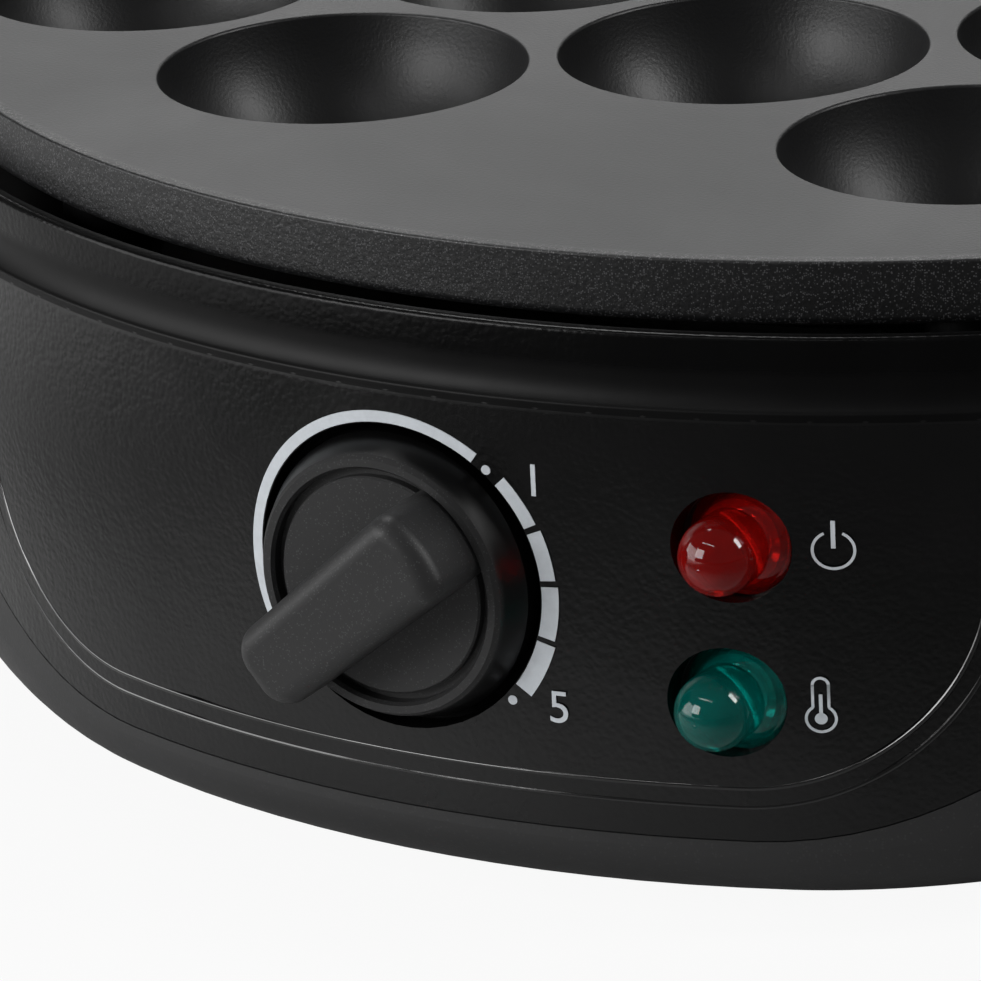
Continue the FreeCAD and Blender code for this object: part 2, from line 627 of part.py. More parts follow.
def bottom_cover():
    """Base moulding: rounded bowl, feet seats, bosses, vents and a stiffening rib."""
    outer = rounded_drum(BODY_R, BASE_BOTTOM_Z, SEAM_SIDE_Z + 5, BASE_ROUND_FRONT, BASE_ROUND_SIDE)
    inner = rounded_drum(BODY_R - BASE_WALL, BASE_FLOOR_Z, SEAM_SIDE_Z + 6,
                         BASE_ROUND_FRONT - BASE_WALL, BASE_ROUND_SIDE - BASE_WALL)
    added = []
    for angle in POST_ANGLES:
        added.append(disc(POST_R, BASE_BOTTOM_Z, POST_JOINT_Z, polar(POST_CIRCLE, angle)))
    for angle in FOOT_ANGLES.values():
        added.append(disc(FOOT_R + 3, BASE_FLOOR_Z - 1, BASE_BOTTOM_Z + FOOT_HEIGHT, polar(FOOT_CIRCLE, angle)))
    added.append(ring(62.0, 60.4, BASE_FLOOR_Z - 1, BASE_FLOOR_Z + RIB_HEIGHT))
    for across in (-BLOCK_LENGTH / 6, BLOCK_LENGTH / 6):
        added.append(disc(3.4, BASE_FLOOR_Z - 1, BASE_FLOOR_Z + 6.0, Vector(across, BLOCK_Y, 0)))
    shell = outer.cut(inner)
    shell = shell.cut(above_seam(SEAM_GAP))
    shell = fuse_all([shell] + [piece.common(outer) for piece in added])
    for angle in POST_ANGLES:
        at = polar(POST_CIRCLE, angle)
        shell = shell.cut(disc(SCREW_HEAD_R + 0.3, 0, POST_JOINT_Z - 6, at))
        shell = shell.cut(disc(SCREW_R + 0.2, 0, POST_JOINT_Z + 1, at))
    for angle in FOOT_ANGLES.values():
        at = polar(FOOT_CIRCLE, angle)
        shell = shell.cut(disc(FOOT_R + FOOT_FIT, 0, BASE_BOTTOM_Z + FOOT_RECESS, at))
        shell = shell.cut(disc(FOOT_STEM_R + FOOT_FIT, 0, BASE_BOTTOM_Z + FOOT_HEIGHT + 1, at))
    for index in range(VENT_COUNT):
        across = (index - (VENT_COUNT - 1) / 2) * VENT_PITCH
        slot = Part.makeBox(VENT_WIDTH, VENT_LENGTH, 10, Vector(across - VENT_WIDTH / 2, -20 - VENT_LENGTH / 2, 0))
        slot = slot.makeFillet(VENT_WIDTH / 2 - 0.05, [edge for edge in slot.Edges if is_upright(edge)])
        shell = shell.cut(slot)
    for across in (-BLOCK_LENGTH / 6, BLOCK_LENGTH / 6):
        shell = shell.cut(disc(SCREW_R + SCREW_GAP, BASE_FLOOR_Z + 0.5, 40, Vector(across, BLOCK_Y, 0)))
    return shell


def is_upright(edge):
    """True for a straight edge along Z."""
    span = edge.Vertexes[-1].Point - edge.Vertexes[0].Point
    return abs(span.x) < 1e-6 and abs(span.y) < 1e-6


def cover_screws():
    """Screws up through the base's bosses into the housing's posts."""
    points = [polar(POST_CIRCLE, angle) for angle in POST_ANGLES]
    return screw_set(points, POST_JOINT_Z - 6, POST_JOINT_Z + 8)


def foot(angle):
    """Rubber foot with a barbed stem, pushed up through the base."""
    seat = BASE_BOTTOM_Z + FOOT_RECESS
    pad = disc(FOOT_R, 0, seat)
    pad = pad.makeFillet(1.2, [edge for edge in pad.Edges if on_circle(edge, FOOT_R, 0)])
    grip = BASE_BOTTOM_Z + FOOT_HEIGHT
    stem = disc(FOOT_STEM_R, seat - 0.5, grip + 0.6)
    barb = Part.makeCone(FOOT_STEM_R + 0.8, FOOT_STEM_R - 0.8, 2.0, Vector(0, 0, grip + 0.1), UP)
    whole = fuse_all([pad, stem, barb])
    whole.translate(polar(FOOT_CIRCLE, angle))
    return whole


def grip_bar():
    """Finger grip, built along +X: its tip overhangs the rim, and its tail ends on the disc's edge."""
    plan = [Vector(-GRIP_TAIL - 1, -GRIP_TAIL_HALF, GRIP_UNDERSIDE), Vector(GRIP_TIP, -GRIP_TIP_HALF, GRIP_UNDERSIDE),
            Vector(GRIP_TIP, GRIP_TIP_HALF, GRIP_UNDERSIDE), Vector(-GRIP_TAIL - 1, GRIP_TAIL_HALF, GRIP_UNDERSIDE)]
    bar = Part.Face(Part.makePolygon(plan + [plan[0]])).extrude(Vector(0, 0, GRIP_TAIL_HEIGHT))
    bar = bar.makeFillet(GRIP_TIP_ROUND, [edge for edge in bar.Edges if is_upright(edge) and edge.CenterOfMass.x > 0])
    bar = bar.cut(ring(GRIP_TAIL + 20, GRIP_TAIL, 0, 40).common(Part.makeBox(60, 60, 40, Vector(-60, -30, 0))))
    slope = (GRIP_TAIL_HEIGHT - GRIP_TIP_HEIGHT) / (GRIP_TIP + GRIP_TAIL)
    roof = [Vector(-GRIP_TAIL - 5, -10, GRIP_TAIL_HEIGHT + 5 * slope),
            Vector(GRIP_TIP + 5, -10, GRIP_TIP_HEIGHT - 5 * slope),
            Vector(GRIP_TIP + 5, -10, 40), Vector(-GRIP_TAIL - 5, -10, 40)]
    bar = bar.cut(Part.Face(Part.makePolygon(roof + [roof[0]])).extrude(Vector(0, 20, 0)))
    corners = [edge for edge in bar.Edges if is_upright(edge) and edge.CenterOfMass.x < -5]
    bar = bar.makeFillet(GRIP_TAIL_ROUND, corners)
    crown = [edge for edge in bar.Edges if edge.CenterOfMass.z > GRIP_TIP_HEIGHT - 1.5 and not is_upright(edge)]
    return bar.makeFillet(GRIP_ROUND, crown)


def control_knob():
    """Round knob with a raised rim, a sunk disc face and a bar grip."""
    rim_in = KNOB_RIM_R - KNOB_LIP_WIDTH
    disc_r = rim_in - KNOB_GROOVE_WIDTH
    out = KNOB_RIM_OUT
    floor = out - KNOB_GROOVE_DEPTH
    skirt_in = KNOB_SKIRT_R - KNOB_WALL
    low = -KNOB_SKIRT_IN
    under = KNOB_DISC_OUT - 2.0
    shell = revolved([(0, under), (rim_in - 0.3, under), (skirt_in, under - 0.8), (skirt_in, low),
                      (KNOB_SKIRT_R, low), (KNOB_SKIRT_R, -0.4), (KNOB_RIM_R, out - 0.5),
                      (KNOB_RIM_R - 0.4, out), (rim_in + 0.3, out), (rim_in, out - 0.4),
                      (rim_in, floor), (disc_r, floor), (disc_r, KNOB_DISC_OUT - 0.2),
                      (disc_r - 0.2, KNOB_DISC_OUT), (0, KNOB_DISC_OUT)])
    hub = disc(KNOB_HUB_R, low, under + 0.5)
    bar = grip_bar()
    bar.rotate(Vector(0, 0, 0), UP, KNOB_REST_DEG)
    knob = fuse_all([shell, hub, bar])
    knob = knob.cut(flatted_shaft(SHAFT_R + SHAFT_RUN_GAP, SHAFT_FLAT + SHAFT_RUN_GAP, low - 1, SHAFT_OUT + 0.3))
    return facing_front(knob)


def flatted_shaft(radius, flat, low, high):
    """A round bar with one flat, facing the pointer's side."""
    bar = disc(radius, low, high)
    slab = Part.makeBox(10, 20, high - low, Vector(flat, -10, low))
    slab.rotate(Vector(0, 0, 0), UP, KNOB_REST_DEG)
    return bar.cut(slab)


def thermostat_shaft():
    """Steel spindle that the knob turns."""
    flat_start = -NUT_THICKNESS - 1.0
    round_part = disc(SHAFT_R, -WELL_DEPTH - WELL_WALL - STAT_PLATE, flat_start)
    return facing_front(fuse_all([round_part, flatted_shaft(SHAFT_R, SHAFT_FLAT, flat_start - 0.1, SHAFT_OUT)]))


def knob_clip():
    """Split spring ring round the knob's hub."""
    clip = ring(KNOB_HUB_R + 0.6, KNOB_HUB_R + 0.02, -KNOB_SKIRT_IN + 0.3, -KNOB_SKIRT_IN + 1.7)
    return facing_front(clip.cut(Part.makeBox(10, 1.0, 10, Vector(0, -0.5, -5))))


def thermostat_body():
    """Switch stack on its mounting plate, with the threaded bush for the spindle."""
    back = -WELL_DEPTH - WELL_WALL
    plate = Part.makeBox(2 * STAT_PLATE_HALF, 2 * STAT_PLATE_HALF, STAT_PLATE,
                         Vector(-STAT_PLATE_HALF, -STAT_PLATE_HALF, back - STAT_PLATE))
    stack = disc(STAT_BODY_R, back - STAT_PLATE - STAT_BODY_DEPTH, back - STAT_PLATE + 0.2)
    bush = disc(BUSH_R, back - 0.2, -WELL_DEPTH + NUT_THICKNESS + 0.4)
    tabs = []
    for side in (-1, 1):
        tabs.append(Part.makeBox(0.8, 6.3, 7.0, Vector(side * 5.0 - 0.4, -3.15, back - STAT_PLATE - STAT_BODY_DEPTH - 6.0)))
    whole = fuse_all([plate, stack, bush] + tabs)
    whole = whole.cut(disc(SHAFT_R + SHAFT_RUN_GAP, back - STAT_PLATE - 0.05, 5))
    return facing_front(whole)


def thermostat_nut():
    """Thin hexagon nut on the bush, inside the knob's well."""
    corner_r = NUT_FLATS / math.sqrt(3.0)
    corners = [polar(corner_r, 60.0 * step, -WELL_DEPTH) for step in range(7)]
    nut = Part.Face(Part.makePolygon(corners)).extrude(Vector(0, 0, NUT_THICKNESS))
    return facing_front(nut.cut(disc(BUSH_R + 0.05, -WELL_DEPTH - 1, 1)))


def lamp_lens(lamp):
    """Clear coloured lens: dome, flared foot in the counterbore and a hollow barrel."""
    seat = -LAMP_SEAT_IN
    flange_r = LAMP_HOLE_R - LAMP_FIT
    dome_z = LAMP_DOME_OUT - LAMP_DOME_R
    bore = LAMP_BARREL_R - LAMP_BARREL_WALL
    body = revolved([(0, -LAMP_BARREL_IN), (LAMP_BARREL_R, -LAMP_BARREL_IN), (LAMP_BARREL_R, seat),
                     (flange_r, seat), (flange_r, seat + LAMP_FLANGE), (flange_r - 0.5, seat + LAMP_FLANGE + 0.3),
                     (LAMP_DOME_R, -LAMP_FLARE_IN), (LAMP_DOME_R, dome_z), (0, dome_z)])
    body = fuse_all([body, Part.makeSphere(LAMP_DOME_R, Vector(0, 0, dome_z))])
    body = body.cut(disc(bore, -LAMP_BARREL_IN - 1, seat))
    body = body.cut(Part.makeSphere(bore - 1.2, Vector(0, 0, seat)))
    return facing_out(body, lamp)


def lamp_retainer(lamp):
    """Push-on ring that grips the lens's barrel behind the wall."""
    back = -LAMP_SEAT_IN - LAMP_BOSS
    body = ring(LAMP_BOSS_R - 0.4, LAMP_BARREL_R + 0.02, back - LAMP_RETAINER, back)
    for step in range(4):
        slit = Part.makeBox(1.8, 1.0, 4, Vector(LAMP_BARREL_R - 0.5, -0.5, back - 2))
        slit.rotate(Vector(0, 0, 0), UP, 90.0 * step + 45.0)
        body = body.cut(slit)
    return facing_out(body, lamp)


def neon_lamp(lamp):
    """Glass neon bulb on its holder plug in the barrel."""
    bore = LAMP_BARREL_R - LAMP_BARREL_WALL - 0.05
    plug = disc(bore, -NEON_BACK_IN, -LAMP_BARREL_IN + 2.5)
    tip_z = -LAMP_SEAT_IN - NEON_R
    glass = disc(NEON_R, -LAMP_BARREL_IN + 2.0, tip_z)
    tip = Part.makeSphere(NEON_R, Vector(0, 0, tip_z))
    return facing_out(fuse_all([plug, glass, tip]), lamp)


def cord_gland():
    """Bush for the mains cord in the rear wall, seated on both faces of it."""
    along = Vector(0, 1, 0)
    neck = Part.makeCylinder(GLAND_NECK_R, 12, Vector(0, BORE_R - 6, GLAND_Z), along)
    outside = Part.makeCylinder(GLAND_FLANGE_R, GLAND_FLANGE + 3, Vector(0, BODY_R - 3, GLAND_Z), along)
    outside = outside.cut(disc(BODY_R + 0.02, 0, PLATE_TOP))
    outer_end = BODY_R + GLAND_FLANGE
    nose = Part.makeCone(GLAND_R, GLAND_R - GLAND_NOSE_TAPER, GLAND_NOSE + 0.2,
                         Vector(0, outer_end - 0.2, GLAND_Z), along)
    inside = Part.makeCylinder(GLAND_FLANGE_R - 1, 6, Vector(0, BORE_R - 6, GLAND_Z), along)
    inside = inside.common(disc(BORE_R - 0.02, 0, PLATE_TOP))
    whole = fuse_all([neck, outside, nose, inside])
    return whole.cut(Part.makeCylinder(GLAND_BORE_R, 40, Vector(0, BORE_R - 10, GLAND_Z), along))


def terminal_block():
    """Connector block on two posts of the base's floor."""
    low = BASE_FLOOR_Z + 6.0
    length = BLOCK_LENGTH
    body = Part.makeBox(length, BLOCK_WIDTH, BLOCK_HEIGHT, Vector(-length / 2, BLOCK_Y - BLOCK_WIDTH / 2, low))
    way = length / BLOCK_WAYS
    for index in range(BLOCK_WAYS):
        across = (index - (BLOCK_WAYS - 1) / 2) * way
        body = body.cut(Part.makeCylinder(2.0, BLOCK_WIDTH + 2, Vector(across, BLOCK_Y - BLOCK_WIDTH / 2 - 1, low + 4),
                                          Vector(0, 1, 0)))
        body = body.cut(disc(1.9, low + 4, low + 20, Vector(across, BLOCK_Y - 5, 0)))
        body = body.cut(disc(1.9, low + 4, low + 20, Vector(across, BLOCK_Y + 5, 0)))
    for across in (-length / 6, length / 6):
        body = body.cut(disc(SCREW_R + 0.2, 0, 60, Vector(across, BLOCK_Y, 0)))
    return body


def sub_parts():
    """Every node's name and its shape."""
    parts = {
        "cooking_plate": cooking_plate(),
        "heating_element": heating_element(),
        "element_clamps": element_clamps(),
        "clamp_screws": clamp_screws(),
        "heat_reflector": heat_reflector(),
        "heat_washers": heat_washers(),
        "plate_screws": plate_screws(),
        "upper_housing": upper_housing(),
        "bottom_cover": bottom_cover(),
        "cover_screws": cover_screws(),
        "control_knob": control_knob(),
        "knob_clip": knob_clip(),
        "thermostat_shaft": thermostat_shaft(),
        "thermostat_body": thermostat_body(),
        "thermostat_nut": thermostat_nut(),
        "cord_gland": cord_gland(),
        "terminal_block": terminal_block(),
    }
    for place, angle in FOOT_ANGLES.items():
        parts["foot_" + place] = foot(angle)
    for lamp in LAMPS:
        parts[lamp + "_lamp_lens"] = lamp_lens(lamp)
        parts[lamp + "_lamp_retainer"] = lamp_retainer(lamp)
        parts[lamp + "_neon_lamp"] = neon_lamp(lamp)
    return parts


def main():
    """Writes one STEP file for each node."""
    os.makedirs("parts", exist_ok=True)
    for node, shape in sub_parts().items():
        shape.exportStep("parts/" + node + ".step")
        print(node, "solids", len(shape.Solids), "volume", round(shape.Volume, 1), "valid", shape.isValid())


if __name__ == "__main__":
    main()
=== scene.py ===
"""Looks of the takoyaki maker: finishes, printed marks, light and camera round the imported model."""

import logging
import math
from dataclasses import dataclass
from enum import Enum
from typing import Callable, Iterable

import bpy
from mathutils import Matrix, Vector


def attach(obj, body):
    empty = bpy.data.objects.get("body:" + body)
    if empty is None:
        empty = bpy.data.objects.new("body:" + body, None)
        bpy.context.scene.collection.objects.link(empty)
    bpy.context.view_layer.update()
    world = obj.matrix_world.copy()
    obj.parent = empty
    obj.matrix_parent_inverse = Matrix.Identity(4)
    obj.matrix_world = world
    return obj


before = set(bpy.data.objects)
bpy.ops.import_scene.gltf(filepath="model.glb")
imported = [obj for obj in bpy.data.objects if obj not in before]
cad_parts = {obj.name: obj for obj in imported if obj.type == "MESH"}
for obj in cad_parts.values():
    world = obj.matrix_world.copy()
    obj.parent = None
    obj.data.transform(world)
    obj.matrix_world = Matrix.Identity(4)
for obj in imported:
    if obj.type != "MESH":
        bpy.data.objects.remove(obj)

LOG = logging.getLogger("takoyaki_maker")
MM = 0.001
BODY_R = 117.4 * MM
BAND_R = 116.2 * MM
LEDGE_Z = 55.7 * MM
LIP_Z = 63.6 * MM
DIAL_Z = 35.2 * MM
WELD = 0.001 * MM
BACKDROP_WHITE = 0.98
Colour = tuple[float, float, float]


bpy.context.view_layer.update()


# ---------------------------------------------------------------- node trees


class Board:
    """A node tree with short calls to add its nodes and to join them."""

    def __init__(self, tree: bpy.types.NodeTree) -> None:
        """Takes the tree that the nodes go on."""
        self.tree = tree

    def add(self, kind: str, **settings: object) -> bpy.types.Node:
        """Adds a node.

        Args:
            kind: Blender's name of the node type.
            settings: properties of the node; a key that starts with "in_" sets a socket's value.

        Returns:
            The new node.
        """
        node = self.tree.nodes.new(kind)
        for key, value in settings.items():
            if key.startswith("in_"):
                node.inputs[key[3:].replace("_", " ")].default_value = value
            else:
                setattr(node, key, value)
        return node

    def join(self, source: bpy.types.NodeSocket, target: bpy.types.NodeSocket) -> None:
        """Joins an output to an input."""
        self.tree.links.new(source, target)

    def sum_up(self, operation: str, *terms: object) -> bpy.types.NodeSocket:
        """Adds a Math node.

        Args:
            operation: the node's operation.
            terms: numbers or sockets, in the order of its inputs.

        Returns:
            The node's output.
        """
        node = self.add("ShaderNodeMath", operation=operation)
        for place, term in enumerate(terms):
            if isinstance(term, bpy.types.NodeSocket):
                self.join(term, node.inputs[place])
            else:
                node.inputs[place].default_value = term
        return node.outputs[0]

    def raised(self, base: object, mask: bpy.types.NodeSocket, amount: float) -> bpy.types.NodeSocket:
        """Adds a share of a mask to a value.

        Args:
            base: a number or socket.
            mask: what is added.
            amount: how much of the mask.

        Returns:
            The raised value.
        """
        return self.sum_up("ADD", base, self.sum_up("MULTIPLY", mask, amount))

    def inverted(self, mask: bpy.types.NodeSocket) -> bpy.types.NodeSocket:
        """Turns a mask from 0 to 1 round."""
        return self.sum_up("SUBTRACT", 1.0, mask)

    def ramp(self, value: bpy.types.NodeSocket, stops: Iterable[tuple[float, float]]) -> bpy.types.NodeSocket:
        """Maps a value through a ramp of greys.

        Args:
            value: what is mapped.
            stops: pairs of place and grey, in order.

        Returns:
            The ramp's colour output.
        """
        node = self.add("ShaderNodeValToRGB")
        places = list(stops)
        elements = node.color_ramp.elements
        while len(elements) < len(places):
            elements.new(0.5)
        for element, (place, grey) in zip(elements, places):
            element.position = place
            element.color = (grey, grey, grey, 1.0)
        self.join(value, node.inputs[0])
        return node.outputs[0]

    def blend(self, mask: bpy.types.NodeSocket, low: object, high: object) -> bpy.types.NodeSocket:
        """Mixes two colours by a mask.

        Args:
            mask: 0 gives the first colour and 1 the second.
            low: a colour or socket.
            high: a colour or socket.

        Returns:
            The mixed colour.
        """
        node = self.add("ShaderNodeMix", data_type="RGBA")
        self.join(mask, node.inputs[0])
        for place, colour in ((6, low), (7, high)):
            if isinstance(colour, bpy.types.NodeSocket):
                self.join(colour, node.inputs[place])
            else:
                node.inputs[place].default_value = (*colour, 1.0)
        return node.outputs[2]


def new_group(name: str, inputs: dict[str, tuple[str, float]], output: str
              ) -> tuple[Board, bpy.types.Node, bpy.types.Node]:
    """Starts a shader node group that puts out one value.

    Args:
        name: the group's name.
        inputs: socket name to socket type and starting value.
        output: name of the value that it puts out.

    Returns:
        The group's board, its input node and its output node.
    """
    tree = bpy.data.node_groups.new(name, "ShaderNodeTree")
    for label, (kind, start) in inputs.items():
        socket = tree.interface.new_socket(name=label, in_out="INPUT", socket_type=kind)
        if kind == "NodeSocketFloat":
            socket.default_value = start
    tree.interface.new_socket(name=output, in_out="OUTPUT", socket_type="NodeSocketFloat")
    board = Board(tree)
    return board, board.add("NodeGroupInput"), board.add("NodeGroupOutput")


class Effects:
    """Surface effects that several finishes share, each built once as a node group."""

    bend_scale = 400.0
    bend_reach = 0.0009
    wrinkle_share = 0.7
    speck_reach = 0.45
    trace_stops = ((0.38, 0.0), (0.68, 1.0))

    def __init__(self) -> None:
        """Builds the groups."""
        self.leather = self._leather_grain()
        self.specks = self._sparkling_specks()
        self.handling = self._handling()

    def _leather_grain(self) -> bpy.types.NodeTree:
        """Pebbled grain of moulded plastic, as a height from 0 to 1.

        Returns:
            The group.
        """
        board, given, out = new_group(
            "leather_grain",
            {"Vector": ("NodeSocketVector", 0.0), "Pebbles per metre": ("NodeSocketFloat", 1800.0),
             "Wrinkle": ("NodeSocketFloat", 0.5)},
            "Height",
        )
        bend = board.add("ShaderNodeTexNoise", in_Scale=self.bend_scale, in_Detail=2.0)
        board.join(given.outputs["Vector"], bend.inputs["Vector"])
        shift = board.add("ShaderNodeVectorMath", operation="MULTIPLY_ADD")
        board.join(bend.outputs["Color"], shift.inputs[0])
        shift.inputs[1].default_value = (self.bend_reach,) * 3
        board.join(given.outputs["Vector"], shift.inputs[2])
        cells = board.add("ShaderNodeTexVoronoi", feature="SMOOTH_F1", in_Smoothness=0.6)
        board.join(shift.outputs[0], cells.inputs["Vector"])
        board.join(given.outputs["Pebbles per metre"], cells.inputs["Scale"])
        wrinkles = board.add("ShaderNodeTexNoise", in_Detail=3.0, in_Roughness=0.6)
        board.join(shift.outputs[0], wrinkles.inputs["Vector"])
        finer = board.sum_up("MULTIPLY", given.outputs["Pebbles per metre"], self.wrinkle_share)
        board.join(finer, wrinkles.inputs["Scale"])
        pebble = board.inverted(cells.outputs["Distance"])
        creased = board.sum_up("MULTIPLY", wrinkles.outputs["Fac"], given.outputs["Wrinkle"])
        board.join(board.sum_up("ADD", pebble, creased), out.inputs[0])
        return board.tree

    def _sparkling_specks(self) -> bpy.types.NodeTree:
        """Tiny separate specks, as a mask from 0 to 1.

        Returns:
            The group.
        """
        board, given, out = new_group(
            "sparkling_specks",
            {"Vector": ("NodeSocketVector", 0.0), "Specks per metre": ("NodeSocketFloat", 2500.0),
             "Cover": ("NodeSocketFloat", 0.3)},
            "Mask",
        )
        cells = board.add("ShaderNodeTexVoronoi", feature="F1")
        board.join(given.outputs["Vector"], cells.inputs["Vector"])
        board.join(given.outputs["Specks per metre"], cells.inputs["Scale"])
        split = board.add("ShaderNodeSeparateColor")
        board.join(cells.outputs["Color"], split.inputs[0])
        chosen = board.sum_up("LESS_THAN", split.outputs[0], given.outputs["Cover"])
        near = board.sum_up("LESS_THAN", cells.outputs["Distance"], self.speck_reach)
        board.join(board.sum_up("MULTIPLY", chosen, near), out.inputs[0])
        return board.tree

    def _handling(self) -> bpy.types.NodeTree:
        """Soft cloudy traces of wiping and touch, as a mask from 0 to 1.

        Returns:
            The group.
        """
        board, given, out = new_group(
            "handling_traces",
            {"Vector": ("NodeSocketVector", 0.0), "Patches per metre": ("NodeSocketFloat", 45.0)},
            "Mask",
        )
        cloud = board.add("ShaderNodeTexNoise", in_Detail=5.0, in_Roughness=0.62, in_Distortion=0.4)
        board.join(given.outputs["Vector"], cloud.inputs["Vector"])
        board.join(given.outputs["Patches per metre"], cloud.inputs["Scale"])
        board.join(board.ramp(cloud.outputs["Fac"], self.trace_stops), out.inputs[0])
        return board.tree

    def place(self, board: Board, group: bpy.types.NodeTree, place: bpy.types.NodeSocket,
              **values: float) -> bpy.types.NodeSocket:
        """Puts a group in a material.

        Args:
            board: the material's board.
            group: one of the groups.
            place: the coordinates that it reads.
            values: its other inputs, with "_" for a space.

        Returns:
            The group's output.
        """
        node = board.add("ShaderNodeGroup", node_tree=group)
        board.join(place, node.inputs["Vector"])
        for name, value in values.items():
            node.inputs[name.replace("_", " ")].default_value = value
        return node.outputs[0]


class Sheet:
    """A new material with its shader, its object coordinates and calls to fill them."""

    def __init__(self, name: str) -> None:
        """Makes the material and its shader.

        Args:
            name: the material's name.
        """
        self.material = bpy.data.materials.new(name)
        self.material.use_nodes = True
        self.board = Board(self.material.node_tree)
        self.shader = self.material.node_tree.nodes["Principled BSDF"]
        self.place = self.board.add("ShaderNodeTexCoord").outputs["Object"]

    def fix(self, **values: object) -> None:
        """Sets constant values on the shader's own sockets, with "_" for a space in a name."""
        for name, value in values.items():
            self.shader.inputs[name.replace("_", " ")].default_value = value

    def drive(self, name: str, source: bpy.types.NodeSocket) -> None:
        """Lets a node drive one of the shader's sockets."""
        self.board.join(source, self.shader.inputs[name])

    def emboss(self, layers: Iterable[tuple[bpy.types.NodeSocket, float]]) -> None:
        """Stacks bumps.

        Args:
            layers: pairs of height from 0 to 1 and its real depth in metres.
        """
        below = None
        for height, depth in layers:
            bump = self.board.add("ShaderNodeBump", in_Strength=1.0, in_Distance=depth)
            self.board.join(height, bump.inputs["Height"])
            if below is not None:
                self.board.join(below, bump.inputs["Normal"])
            below = bump.outputs["Normal"]
        self.drive("Normal", below)

    def noise(self, scale: float, detail: float = 2.0) -> bpy.types.NodeSocket:
        """Plain noise over the object.

        Args:
            scale: features in a metre.
            detail: number of finer layers.

        Returns:
            The noise, about 0 to 1.
        """
        node = self.board.add("ShaderNodeTexNoise", in_Scale=scale, in_Detail=detail)
        self.board.join(self.place, node.inputs["Vector"])
        return node.outputs["Fac"]

    def axis(self, letter: str) -> bpy.types.NodeSocket:
        """One coordinate of the place, by its letter.

        Args:
            letter: X, Y or Z.

        Returns:
            The coordinate.
        """
        split = self.board.add("ShaderNodeSeparateXYZ")
        self.board.join(self.place, split.inputs[0])
        return split.outputs[letter]

    def reach(self, kept: tuple[float, float, float], shift: tuple[float, float, float]) -> bpy.types.NodeSocket:
        """Distance from an axis that runs along one of the coordinates.

        Args:
            kept: 1 for the two coordinates that count and 0 for the axis's own.
            shift: what is added to the place, to start from the axis.

        Returns:
            The distance.
        """
        moved = self.board.add("ShaderNodeVectorMath", operation="MULTIPLY_ADD")
        self.board.join(self.place, moved.inputs[0])
        moved.inputs[1].default_value = kept
        moved.inputs[2].default_value = shift
        length = self.board.add("ShaderNodeVectorMath", operation="LENGTH")
        self.board.join(moved.outputs[0], length.inputs[0])
        return length.outputs["Value"]

    def radius(self) -> bpy.types.NodeSocket:
        """Distance from the object's upright axis."""
        return self.reach((1.0, 1.0, 0.0), (0.0, 0.0, 0.0))

    def dial_radius(self) -> bpy.types.NodeSocket:
        """Distance from the dial's axis."""
        return self.reach((1.0, 0.0, 1.0), (0.0, 0.0, -DIAL_Z))

    def step(self, value: bpy.types.NodeSocket, start: float, end: float) -> bpy.types.NodeSocket:
        """A smooth step from 0 at start to 1 at end.

        Args:
            value: what is stepped.
            start: where it leaves 0.
            end: where it reaches 1.

        Returns:
            The step.
        """
        node = self.board.add("ShaderNodeMapRange", interpolation_type="SMOOTHSTEP")
        node.inputs["From Min"].default_value = start
        node.inputs["From Max"].default_value = end
        self.board.join(value, node.inputs["Value"])
        return node.outputs["Result"]


# ---------------------------------------------------------------- finishes


@dataclass(frozen=True)
class CastCoating:
    """Dark grey non-stick coating on cast aluminium: satin on top, with painted glints on the turned edge."""

    flat: Colour = (0.0055, 0.0056, 0.0060)
    worn: Colour = (0.0080, 0.0081, 0.0086)
    painted_glint: Colour = (0.070, 0.070, 0.073)
    roughness: float = 0.40
    pore_depth: float = 0.03 * MM
    turned_depth: float = 0.06 * MM
    edge_starts: tuple[float, float] = (110.0 * MM, 111.2 * MM)

    def build(self, effects: Effects) -> bpy.types.Material:
        """Builds the material.

        Args:
            effects: the shared effects.

        Returns:
            The material.
        """
        sheet = Sheet("cast_coating")
        board = sheet.board
        traces = effects.place(board, effects.handling, sheet.place, Patches_per_metre=22.0)
        edge = sheet.step(sheet.radius(), *self.edge_starts)
        # Painted highlights: light specks mixed into the base colour on the turned edge, standing for glints, with
        # a lower roughness there.
        glitter = effects.place(board, effects.specks, sheet.place, Specks_per_metre=5200.0, Cover=0.30)
        glints = board.sum_up("MULTIPLY", glitter, edge)
        base = board.blend(traces, self.flat, self.worn)
        sheet.drive("Base Color", board.blend(glints, base, self.painted_glint))
        sheet.drive("Roughness", board.raised(board.raised(self.roughness, traces, 0.05), glints, -0.12))
        sheet.emboss([
            (sheet.noise(2600.0, 3.0), self.pore_depth),
            (board.sum_up("MULTIPLY", sheet.noise(1600.0, 4.0), edge), self.turned_depth),
        ])
        return sheet.material


